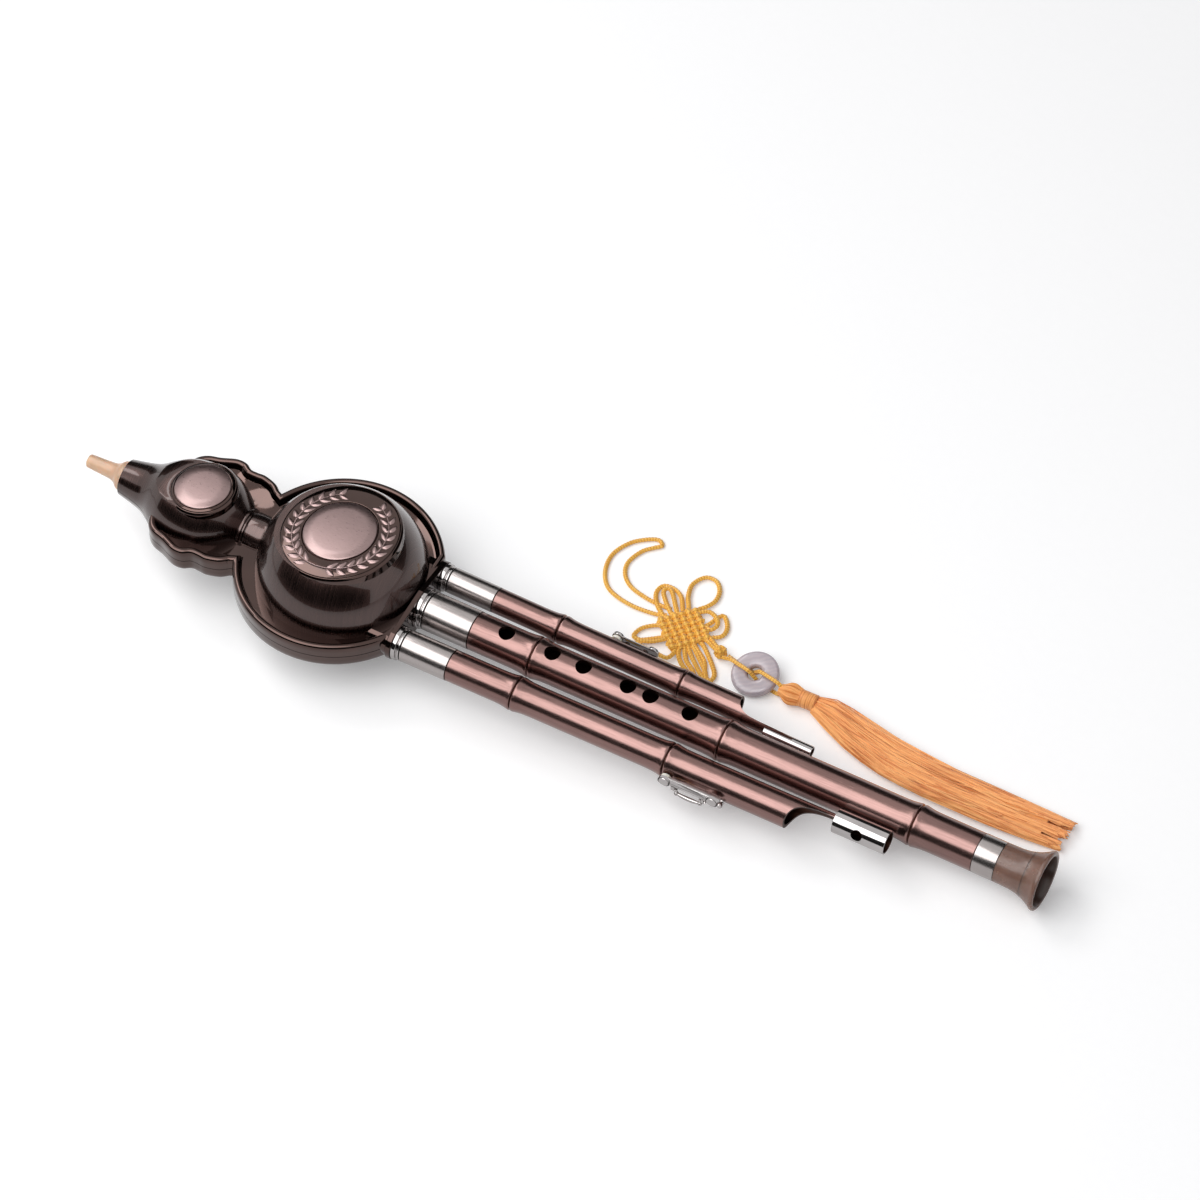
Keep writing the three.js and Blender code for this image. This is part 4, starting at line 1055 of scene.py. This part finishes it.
KEY_END, SLEEVE_DEPTH, SPIGOT = 2.6, 16, 9
FERRULE_OUT, FERRULE_IN = 0.1, 0.5


def ferrule_seat(pipe):
    """The radius of the pipe under a ferrule."""
    return pipe.radius - FERRULE_IN - GAP


def ferrule(name, pipe, x0, x1, body, node):
    shape = tube(x0, x1, pipe.radius + FERRULE_OUT, pipe.radius - FERRULE_IN, 0.12)
    add(name, shape, pipe.place, body, "satin_ferrule", node)


def pipe_outline(pipe, nodes, end, rise):
    """A pipe's wall from its tenon over its bamboo nodes to the points of its end."""
    bore, radius, seat = pipe.bore, pipe.radius, ferrule_seat(pipe)
    outline = [
        (SEAM_X - SLEEVE_DEPTH, bore), (SEAM_X - SLEEVE_DEPTH, seat), (SEAM_X + GAP, seat),
        (SEAM_X + GAP, radius - 0.12), (SEAM_X + GAP + 0.15, radius),
    ]
    for node_x in nodes:
        outline += [(node_x + x, radius + share * rise) for x, share in NODE_CURVE]
    return [*outline, *end, (end[-1][0], bore)]


def scoop_tools(drone):
    """What is cut from a drone's open end to leave its tongue, which is at +Z."""
    radius, cut_x, length, end_x = drone.pipe.radius, drone.cut, drone.scoop, drone.tongue
    reach, past = radius + 3, end_x + 4
    curve = smooth_line([(cut_x + length * a, radius * b) for a, b in TONGUE_CURVE], 4)
    points = [(cut_x, -reach), *curve[1:], (past, radius * 0.7), (past, -reach)]
    tools = [turned(slab(points[::-1], -reach, reach), turn(90, "X"))]
    for side in (1, -1):
        run = [(cut_x + length * a, side * max(drone.half, radius * b)) for a, b in TONGUE_EDGE]
        run += [(past, side * drone.half), (past, side * reach), (cut_x + length * 0.45, side * reach)]
        tools.append(slab(run[::side], -reach, reach))
    tools.append(block(end_x, end_x + 8, -reach, reach, -reach, reach))
    return tools


DRONES = (
    Part(
        pipe=NEAR, nodes=(212.5, 281.5), cut=335.4, scoop=14.0, tongue=371.4, half=4.0, inner=-65.0,
        outer=90.0, tube=(353.7, 22.9, 0.65), hole=(364.6, 2.4, -51), key=(281.8, 26.5), key_side=-1,
        key_seat=7.4,
    ),
    Part(
        pipe=FAR, nodes=(212.7, 268.8), cut=293.7, scoop=8.0, tongue=325.0, half=1.5, inner=90.0,
        outer=-90.0, tube=(308.1, 21.5, 0.55), hole=None, key=(232.0, 21.0), key_side=1,
        key_seat=5.4,
    ),
)


def paint_shade(piece, place, picks):
    """Gives the painted-shade finish to the faces that a test on their middle and normal picks."""
    inverse, untilted = (place @ WORK_SCALE).inverted(), place.to_3x3().inverted()
    for face in piece.data.polygons:
        if picks(inverse @ face.center, untilted @ face.normal):
            face.material_index = 1


def paint_bore_shade(piece, place, radius):
    # Painted shade on every face that lies closer to the axis than the radius.
    paint_shade(piece, place, lambda middle, normal: math.hypot(middle.y, middle.z) < radius)


def looks_inwards(middle, normal):
    return middle.y * normal.y + middle.z * normal.z < -1


class HULUSI_OT_pipes(bpy.types.Operator):
    """Builds the melody pipe, the two scooped drones, their ferrules and tuning tubes"""

    bl_idname = "hulusi.pipes"
    bl_label = "Pipes"

    def execute(self, context):
        sizes = context.scene.hulusi_sizes
        rise, finger_hole = sizes.node_rise / MM, sizes.finger_hole / MM
        radius, seat = MELODY.radius, ferrule_seat(MELODY)
        sleeve_x, end_x = MELODY_END - END_SLEEVE, MELODY_END - GAP
        step_x = sleeve_x - GAP
        end = [(step_x - 0.15, radius), (step_x, radius - 0.12), (step_x, seat), (end_x, seat)]
        holes = [post(x, 0, 14, finger_hole, 48) for x in FINGER_HOLES]
        holes.append(post(THUMB_HOLE, -14, 0, finger_hole, 48))
        shape = carved(spun(pipe_outline(MELODY, MELODY_NODES, end, rise), 112), holes)
        pipe = add(
            "melody_tube", shape, INSTRUMENT, "melody", "rose_copper_tube", "melody_pipe",
            inside="tube_inside", bevel=0.12,
        )
        paint_bore_shade(pipe, INSTRUMENT, radius - 0.1)
        ferrule("melody_sleeve", MELODY, FERRULE_X, SEAM_X, "melody", "melody_top_ferrule")
        ferrule("melody_end_sleeve", MELODY, sleeve_x, MELODY_END, "melody", "melody_end_ferrule")
        for drone in DRONES:
            self.drone(drone, rise)
        return {"FINISHED"}

    def drone(self, drone, rise):
        pipe, half, end_x = drone.pipe, drone.half, drone.tongue + 1.5
        name, radius, place = pipe.name, pipe.radius, pipe.place
        body, inner = f"{name}_drone", turn(drone.inner, "X")
        tools = [turned(tool, inner) for tool in scoop_tools(drone)]
        tone_hole = post(drone.key[0] + KEY_END, 0, radius + 3, 1.5)
        tools.append(turned(tone_hole, turn(drone.outer, "X")))
        shape = spun(pipe_outline(pipe, drone.nodes, [(end_x, radius)], rise))
        made = add(
            f"{body}_tube", carved(shape, tools), place, body, "rose_copper_tube", f"{body}_pipe",
            inside="tube_inside",
        )
        paint_bore_shade(made, place, radius - 0.1)
        ferrule(f"{name}_sleeve", pipe, FERRULE_X, SEAM_X, body, f"{body}_ferrule")
        outer_h, inner_h = math.sqrt(radius**2 - half**2), math.sqrt(pipe.bore**2 - half**2)
        hold = math.hypot((outer_h - inner_h) / 2, half) + GAP
        x0, length, wall = drone.tube
        shape = tube(x0, x0 + length, hold + wall, hold, 0.18)
        if drone.hole:
            hole_x, hole_radius, hole_turn = drone.hole
            cutter = turned(post(hole_x, -hold - 3, 0, hole_radius), turn(hole_turn, "X"))
            shape = carved(shape, [cutter])
        tilted = place @ inner @ millimetres(0, 0, (outer_h + inner_h) / 2)
        tuner = add(
            f"{name}_tuner", shape, tilted, f"{name}_tuning", "chrome_fitting",
            f"{name}_tuning_tube", inside="tube_inside",
        )
        paint_bore_shade(tuner, tilted, hold + 0.05)


FLARE_SHARE = [(0, 0), (0.3, 0.03), (0.5, 0.14), (0.68, 0.38), (0.82, 0.68), (0.9, 0.9)]
PLUG_OUTLINE = [
    (431.3, 4.8), (431.3, 9.3), (432.9, 9.3), (433.0, 8.3), (432.4, 7.9), (432.4, 6.4),
    (433.0, 6.0), (433.0, 4.8),
]
MOUTH_SIDE = [
    (0.4, 2.9), (4, 3.1), (8, 3.3), (12, 3.65), (14, 4.5), (15.2, 5.6), (16.2, 6.3), (17.4, 6.5),
]


class HULUSI_OT_bell(bpy.types.Operator):
    """Turns the translucent bell with its ring-shaped stopper, and the mouthpiece"""

    bl_idname = "hulusi.bell"
    bl_label = "Bell and mouthpiece"

    def execute(self, context):
        start, end, spigot = MELODY_END + GAP, BELL_END, MELODY_END - SPIGOT
        flare = [(start + (end - start) * a, 8.3 + 4.4 * b) for a, b in FLARE_SHARE]
        outline = [
            (spigot, 4.8), (spigot, 6.0), (start, 6.0), (start, 8.1), *smooth_line(flare, 5),
            (437.1, 12.55), (437.6, 12.7), (438.2, 12.6), (end, 12.2), (end, 11.2), (438.3, 10.7),
            (437.6, 10.4), (436.4, 10.1), (433.3, 9.6), (431.0, 9.6), (431.0, 4.8),
        ]
        bell = add(
            "bell_flare", spun(outline, 128), INSTRUMENT, "bell", "bell_plastic", "bell",
            inside="bell_inside",
        )
        # Painted shade on the faces of the flare that look inwards.
        paint_shade(bell, INSTRUMENT, looks_inwards)
        # The stopper deep in the bell is given the painted shade all over.
        add(
            "bell_stopper", spun(rounded(PLUG_OUTLINE, 0.25)), INSTRUMENT, "bell", "bell_inside",
            "bell_plug", slot="bell_plastic",
        )
        outline = [
            (0, 1.8), (0, 2.6), *smooth_line(MOUTH_SIDE, 4), (18, 6.4), (18, 4), (30.6, 4),
            (31, 3.7), (31, 1.8),
        ]
        mouth = spun(outline)
        add("mouth_tube", mouth, INSTRUMENT, "mouthpiece", "mouthpiece_plastic", "mouthpiece")
        return {"FINISHED"}


HINGE_OUT, HINGE_RISE, HINGE_HOLE = 3.3, 0.8, 0.65
LEVER_RISE, LEVER_THICK, LEVER_HALF, LEVER_CROWN = 1.9, 0.9, 2.1, 5
LUG_HALF, LUG_INSET, LUG_INNER, LUG_OUTER = 0.8, 3.8, 1.8, 3.75
SHAFT_INSET, SHAFT = 1.55, 0.45
BAR_OUT, BAR_INSET, BAR_BOW, BAR_STEPS, BAR_KNOB = 5.3, 1.6, 2.6, 16, 1.06
CAP_OUTLINE = [(0.25, 0), (0.25, 2.25), (0.6, 2.1), (0.95, 1.3), (1.05, 0)]


class HULUSI_OT_keys(bpy.types.Operator):
    """Builds the chrome key on each drone: lever, bowed bar, rod and ball-headed posts"""

    bl_idname = "hulusi.keys"
    bl_label = "Keys"

    def execute(self, context):
        for drone in DRONES:
            self.key(drone)
        return {"FINISHED"}

    def key(self, drone):
        pipe, side = drone.pipe, drone.key_side
        name, place = pipe.name, pipe.place @ turn(drone.outer, "X")
        moving = (place, f"{name}_key", "chrome_fitting")
        fixed = (place, f"{name}_drone", "chrome_fitting")
        x0, x1 = drone.key[0], sum(drone.key)
        pad_x, touch_x = x0 + KEY_END, x1 - KEY_END
        low, axis_z = drone.key_seat + LEVER_RISE, drone.key_seat + HINGE_RISE
        top, axis_y = low + LEVER_THICK, side * HINGE_OUT
        y0, y1 = sorted((side * LUG_INNER, side * LUG_OUTER))
        lugs = (pad_x + LUG_INSET, touch_x - LUG_INSET)
        hinge = shift(0, axis_y, axis_z)

        crown = turned(rod(x0, x1, LEVER_CROWN, 96), shift(0, 0, top - LEVER_CROWN))
        plate = block(pad_x, touch_x, -LEVER_HALF, LEVER_HALF, low, top)
        plate = carved(plate, [crown], "INTERSECT")
        added = [post(x, low, top + 0.3, KEY_END) for x in (pad_x, touch_x)]
        for x in lugs:
            added.append(block(x - LUG_HALF, x + LUG_HALF, y0, y1, axis_z, top))
            added.append(turned(rod(-LUG_HALF, LUG_HALF, 1), shift(x, axis_y, axis_z)))
        lever = carved(carved(plate, added, "UNION"), [turned(rod(x0, x1, HINGE_HOLE), hinge)])
        add(f"{name}_lever", lever, *moving, f"{name}_key_lever", bevel=0.16)

        cap = [(top + rise, radius) for rise, radius in CAP_OUTLINE]
        for end, x in (("pad", pad_x), ("touch", touch_x)):
            shape = raised(cap, 40, shift(x))
            add(f"{name}_{end}_cap", shape, *moving)

        start, end = x0 + SHAFT_INSET, x1 - SHAFT_INSET
        shaft = rounded([(start, 0), (start, SHAFT), (end, SHAFT), (end, 0)], 0.1)
        add(f"{name}_hinge_rod", turned(spun(shaft, 24), hinge), *fixed, f"{name}_key_rod")
        for i, x in enumerate((x0, x1), 1):
            over_node = any(abs(node - x) < NODE_REACH for node in drone.nodes)
            clear = pipe.radius + (NODE_RISE if over_node else 0) + GAP
            foot = math.sqrt(max(clear**2 - HINGE_OUT**2, 1)) + 0.15
            stalk = [
                (foot, 0), (foot, 1.25), (foot + 0.35, 1.1), (foot + 0.7, 0.7), (axis_z - 0.6, 0.7),
                (axis_z - 0.95, 0.95), (axis_z, 1.25), (axis_z + 0.8, 0.96), (axis_z + 1.25, 0),
            ]
            shape = raised(stalk, 32, shift(x, axis_y))
            add(f"{name}_post_{i}", shape, *fixed, f"{name}_key_post_{i}")

        bar_z, bar_y = (low + top) / 2, side * BAR_OUT
        first, last = lugs[0] + BAR_INSET, lugs[1] - BAR_INSET
        route = []
        for i in range(BAR_STEPS + 1):
            t = i / BAR_STEPS
            bow = side * BAR_BOW * t * (1 - t)
            route.append(Vector((first + (last - first) * t, bar_y + bow, bar_z)))
        bar = along_route(route, lambda t: 0.62 + 0.34 * math.sin(math.pi * t), 14)
        added = []
        for x in (first, last):
            arm = shift(x, 0, bar_z) @ turn(90 * side, "Z")
            added += [ball(x, bar_y, bar_z, BAR_KNOB), turned(rod(2.4, BAR_OUT, 0.5, 20), arm)]
        add(f"{name}_touch_bar", carved(bar, added, "UNION"), *moving, f"{name}_key_bar")


# Knot, ring and tassel

KNOT_CENTRE, KNOT_TURN = (248.5, 53.5), 47.0
KNOT_SPREAD = 7.3
KNOT_ROWS = 6
EARS = [
    [(244.6, 64.9), (241.6, 70), (240.2, 76.5), (243.2, 82), (248.2, 82.3), (251.8, 78.2),
     (252.6, 73), (251, 68.8), (248.6, 65.6)],
    [(237.2, 56.4), (231.8, 61), (228.8, 66.4), (230, 70.6), (234.6, 71), (239, 68.6), (242.4, 63.6)],
    [(239.2, 58.9), (234.6, 63.3), (231.9, 66.8), (232.4, 69), (235, 68.4), (240.6, 61.4)],
    [(250.2, 64.4), (253.6, 66.2), (257.6, 64.6), (259.6, 61.4), (258.3, 58.3), (255.2, 58.6)],
    [(255.8, 60.2), (258.8, 67.4), (262.2, 65), (263.9, 61.2), (263.2, 57.5), (258.8, 54.6)],
    [(240.6, 52.2), (236.3, 50.4), (232.3, 46.9), (231.2, 42.4), (234.4, 41.4), (239.3, 44.4),
     (243.2, 47.2)],
    [(244.4, 46.2), (240, 42.2), (234.6, 39.6), (237.4, 38), (243.4, 37.6), (249, 37.4),
     (250.4, 40.6)],
    [(252.2, 41.6), (255.2, 38.3), (259.6, 35.6), (262.8, 34), (261.4, 36.9), (256.8, 40.1),
     (254.4, 43.2)],
    [(255.6, 44.9), (260, 40.9), (265, 36.8), (268, 35.2), (265.8, 39), (261.6, 42.8),
     (257.4, 46.4)],
    [(257.6, 47.4), (263.2, 43.2), (266.8, 37.2), (269.8, 35.6), (270.2, 38.8), (267, 43),
     (259.6, 49.8)],
]
WEAVE_HEIGHT, WEAVE_RISE, EAR_HEIGHT, EAR_TUCK = 2.2, 0.95, 2.1, 2.6
EAR_LEVELS = (1.3, 1.2, 2.6, 2.4, 1.3, 1.2, 2.5, 1.2, 1.4, 1.3)
LEAD = [(257.6, 54.2, 1, 2.2), (260.4, 53.2, 1, 2.6), (263, 51.6, 0.8, 2.8), (265.8, 50.2, 0.6, 3)]


def knot_strand(index, across):
    """One strand of the weave, over and under the strands that cross it."""
    step = 2 * KNOT_SPREAD / (KNOT_ROWS - 1)
    line = -KNOT_SPREAD + index * step
    sign = 1 if (index % 2 == 0) != across else -1
    points = []
    for i in range(61):
        along = -KNOT_SPREAD - 1.3 + (2 * KNOT_SPREAD + 2.6) * i / 60
        wave = math.cos(math.pi * ((along + KNOT_SPREAD) / step))
        height = WEAVE_HEIGHT + WEAVE_RISE * sign * wave
        points.append(Vector((line, along, height) if across else (along, line, height)))
    return points


def knot_cord(points):
    return along_route(even(smooth_line(points), 0.4), 1.02, 12, 0.2)


class HULUSI_OT_knot(bpy.types.Operator):
    """Weaves the square knot with its ears, and the button knot below it"""

    bl_idname = "hulusi.knot"
    bl_label = "Knot"

    def execute(self, context):
        middle = Vector(KNOT_CENTRE)
        at = shift(*middle) @ turn(KNOT_TURN, "Z")
        parts = []
        for across in (False, True):
            for index in range(KNOT_ROWS):
                route = [at @ point for point in even(knot_strand(index, across), 0.4)]
                parts.append(along_route(route, 1.22, 12, 0.16))
        for ear, level in zip(EARS, EAR_LEVELS):
            ear = [Vector(point) for point in ear]
            inner = [end + (middle - end).normalized() * EAR_TUCK for end in (ear[0], ear[-1])]
            ear = [inner[0], *ear, inner[1]]
            points = []
            for i, point in enumerate(ear):
                settle = math.sin(math.pi * i / (len(ear) - 1))
                points.append((*point, EAR_HEIGHT + (level - EAR_HEIGHT) * settle))
            parts.append(knot_cord(points))
        for drift in (0.95, -0.95):
            parts.append(knot_cord([(x, y + drift * share, z) for x, y, share, z in LEAD]))
        add("woven_knot", together(*parts), *ORNAMENT, "silk_cord", "ornament_knot")
        wraps = []
        for i in range(241):
            t = 2 * math.pi * i / 240
            height = math.radians(52) * math.sin(4 * t)
            reach = 2.15 + 0.16 * math.sin(8 * t + 0.8)
            out = reach * math.cos(height)
            wraps.append(Vector((
                out * math.cos(3 * t), out * math.sin(3 * t), reach * math.sin(height),
            )))
        button = together(along_route(wraps, 0.72, 10, 0.1), ball(0, 0, 0, 2.0))
        turned(button, shift(267.6, 49.3, 3.0) @ turn(-20, "Z") @ turn(70, "Y"))
        add("button_knot", button, *ORNAMENT, "silk_cord", "ornament_button")
        return {"FINISHED"}


class HULUSI_OT_ring(bpy.types.Operator):
    """Turns the banded stone ring"""

    bl_idname = "hulusi.ring"
    bl_label = "Stone ring"

    def execute(self, context):
        ring = tube(0, RING_THICK, RING_RADIUS, RING_HOLE, 1.9)
        add("stone_ring", turned(ring, ring_seat() @ UPRIGHT), *ORNAMENT, "jade", "jade_ring")
        return {"FINISHED"}


SKIRT_SHARE = [
    (0, 0, 0.5, 0.8), (0.04, -0.005, 0.76, 0.96), (0.1, -0.024, 0.94, 1), (0.2, -0.056, 1.1, 0.98),
    (0.35, -0.09, 1.18, 0.92), (0.5, -0.103, 1.18, 0.85), (0.75, -0.107, 1.08, 0.75),
    (1, -0.105, 0.96, 0.65),
]
TASSEL_HEAD = Vector((300.5, 42.6, 4.4))
SKIRT_X, SKIRT_LENGTH, SKIRT_WIDE, SKIRT_HIGH = 315.3, 120.0, 16.0, 8.0
CROWN_OUTLINE = [
    (-2.2, 1.9), (-1, 2.25), (0.2, 2.9), (1.4, 3.65), (2.8, 4.05), (4.2, 3.95), (5.8, 3.5), (7.6, 3.05),
]
WRAPS, WRAP_STEPS, WRAP_RADIUS, WRAP_X0, WRAP_X1 = 14, 20, 3.42, 7.4, 14.3
PLEATS, STRAYS = 46, 24


def skirt_at(along):
    """Centre line, half width and half height of the skirt at a share of its length."""
    along = min(along, 1.0)
    for a, b in zip(SKIRT_SHARE, SKIRT_SHARE[1:]):
        if along <= b[0]:
            t = (along - a[0]) / (b[0] - a[0])
            across, wide, high = (a[k] + (b[k] - a[k]) * t for k in (1, 2, 3))
            return SKIRT_LENGTH * across, SKIRT_WIDE / 2 * wide, SKIRT_HIGH / 2 * high


def yarn_route(angle, reach, drift, wave, phase, length):
    """One yarn's way down the skirt, from its angle round the binding."""
    points = []
    for i in range(13):
        along = length * i / 12
        across, wide, high = skirt_at(along)
        sway = drift * along + wave * math.sin(phase + 7 * along) * along**0.5
        out = reach * (1 + 0.04 * math.sin(2 * phase + 9 * along))
        points.append(Vector((
            SKIRT_X - 1.2 + SKIRT_LENGTH * along,
            TASSEL_HEAD.y + across + (wide - 0.3) * out * math.cos(angle + sway),
            max(0.42, high + (high - 0.3) * out * math.sin(angle + sway)),
        )))
    return points


class HULUSI_OT_tassel(bpy.types.Operator):
    """Ties the tassel: its head, its binding and every yarn of the skirt"""

    bl_idname = "hulusi.tassel"
    bl_label = "Tassel"

    def execute(self, context):
        sizes = context.scene.hulusi_sizes
        rng = random.Random(7)
        at = Matrix.Translation(TASSEL_HEAD)
        self.crown(rng, at)
        coil = []
        for i in range(WRAPS * WRAP_STEPS + 1):
            x = WRAP_X0 + (WRAP_X1 - WRAP_X0) * i / (WRAPS * WRAP_STEPS)
            coil.append(around_x(x, WRAP_RADIUS, 2 * math.pi * i / WRAP_STEPS))
        sleeve = tube(WRAP_X0 - 0.1, WRAP_X1, WRAP_RADIUS, 3.0, 0.1, 40)
        wraps = turned(together(along_route(coil, 0.27, 6), sleeve), at)
        add("tassel_wraps", wraps, *ORNAMENT, "tassel_silk", "tassel_binding")
        self.skirt(rng, sizes.yarns // LOCKS, sizes.yarn / MM)
        return {"FINISHED"}

    def crown(self, rng, at):
        """The pleats of yarn over the head, round a plain core."""
        inner = [(x, reach - 0.12) for x, reach in CROWN_OUTLINE]
        inner = [(inner[0][0], 0), *inner, (14.5, 2.9), (14.5, 0)]
        parts = []
        for i in range(PLEATS):
            angle = 2 * math.pi * i / PLEATS + rng.uniform(-0.04, 0.04)
            bow = rng.uniform(-0.14, 0.14)
            route = [around_x(x, reach, angle + bow * x / 7) for x, reach in CROWN_OUTLINE]
            parts.append(along_route(smooth_line(route, 2), 0.29, 5, strand=i * 1.7))
        parts.append(spun(inner, 40))
        wider = Matrix.Diagonal((1, 1.12, 1, 1))
        crown = turned(together(*parts), at @ wider)
        add("tassel_crown", crown, *ORNAMENT, "tassel_silk", "tassel_head")

    def skirt(self, rng, in_lock, radius):
        yarns = []
        for lock in range(LOCKS):
            angle = 2 * math.pi * (lock + rng.uniform(0.2, 0.8)) / LOCKS
            drift, wave, phase = rng.gauss(0, 0.26), rng.gauss(0, 0.16), rng.uniform(0, 6.28)
            reach, end = rng.uniform(0.9, 1.04), rng.uniform(0.965, 1)
            for i in range(in_lock):
                depth = rng.uniform(0.93, 1.0) if i % 3 else rng.uniform(0.82, 0.92)
                route = yarn_route(
                    angle + rng.gauss(0, 0.06), reach * depth, drift + rng.gauss(0, 0.05),
                    wave + rng.gauss(0, 0.02), phase + rng.gauss(0, 0.2), end - rng.uniform(0, 0.03),
                )
                yarns.append(along_route(route, radius, 4, strand=lock * 5.3 + i * 3.7))
        for i in range(STRAYS):
            route = yarn_route(
                rng.uniform(0.15, 0.85) * math.pi, 1.06, rng.gauss(0, 0.55), rng.gauss(0, 0.2),
                rng.uniform(0, 6.28), rng.uniform(0.7, 1.0),
            )
            yarns.append(along_route(route, radius * 0.85, 4, strand=i * 2.7))
        core = bmesh.new()
        rings = []
        for i in range(31):
            along = i / 30 * 0.9
            across, wide, high = skirt_at(along)
            ring = bmesh.ops.create_circle(core, segments=24, radius=1)["verts"]
            middle = shift(SKIRT_X + SKIRT_LENGTH * along, TASSEL_HEAD.y + across, high)
            squeeze = Matrix.Diagonal((1, wide * 0.8, high * 0.72, 1))
            bmesh.ops.transform(core, matrix=middle @ squeeze @ turn(90, "Y"), verts=ring)
            rings.append([e for e in core.edges if e.verts[0] in ring and e.verts[1] in ring])
        yarns.append(skinned(core, rings))
        add("tassel_yarns", together(*yarns), *ORNAMENT, "tassel_silk", "tassel_skirt")


class HULUSI_OT_inner_parts(bpy.types.Operator):
    """Gives the reeds, their holders, pads and springs their finishes"""

    bl_idname = "hulusi.inner_parts"
    bl_label = "Inner parts"

    def execute(self, context):
        shown = {
            "reed_brass": ("melody_reed", "near_reed", "far_reed", "near_key_spring", "far_key_spring"),
            "reed_holder": ("melody_reed_holder", "near_reed_holder", "far_reed_holder"),
            "key_pad": ("near_key_pad", "far_key_pad"),
        }
        for finish, nodes in shown.items():
            for node in nodes:
                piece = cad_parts[node]
                piece.data.materials.clear()
                piece.data.materials.append(finishes()[finish])
        return {"FINISHED"}


class HULUSI_PT_panel(bpy.types.Panel):
    """Lists the operators and the values that they use"""

    bl_idname = "HULUSI_PT_panel"
    bl_label = "Hulusi"
    bl_space_type = "VIEW_3D"
    bl_region_type = "UI"
    bl_category = "Hulusi"

    def draw(self, context):
        for operator in OPERATORS:
            self.layout.operator(operator.bl_idname)
        for group in (context.scene.hulusi_sizes, context.scene.hulusi_colours):
            for name in group.__annotations__:
                self.layout.prop(group, name)


OPERATORS = (
    HULUSI_OT_stage,
    HULUSI_OT_cords,
    HULUSI_OT_gourd,
    HULUSI_OT_medallions,
    HULUSI_OT_sockets,
    HULUSI_OT_pipes,
    HULUSI_OT_bell,
    HULUSI_OT_keys,
    HULUSI_OT_knot,
    HULUSI_OT_ring,
    HULUSI_OT_tassel,
    HULUSI_OT_inner_parts,
)
CLASSES = (HulusiSizes, HulusiColours, *OPERATORS, HULUSI_PT_panel)


def register():
    for each in CLASSES:
        bpy.utils.register_class(each)
    bpy.types.Scene.hulusi_sizes = bpy.props.PointerProperty(type=HulusiSizes)
    bpy.types.Scene.hulusi_colours = bpy.props.PointerProperty(type=HulusiColours)


def unregister():
    del bpy.types.Scene.hulusi_sizes
    del bpy.types.Scene.hulusi_colours
    for each in reversed(CLASSES):
        bpy.utils.unregister_class(each)


def main():
    register()
    for operator in OPERATORS:
        group, name = operator.bl_idname.split(".")
        getattr(getattr(bpy.ops, group), name)()
    bpy.context.view_layer.update()


if __name__ == "__main__":
    main()
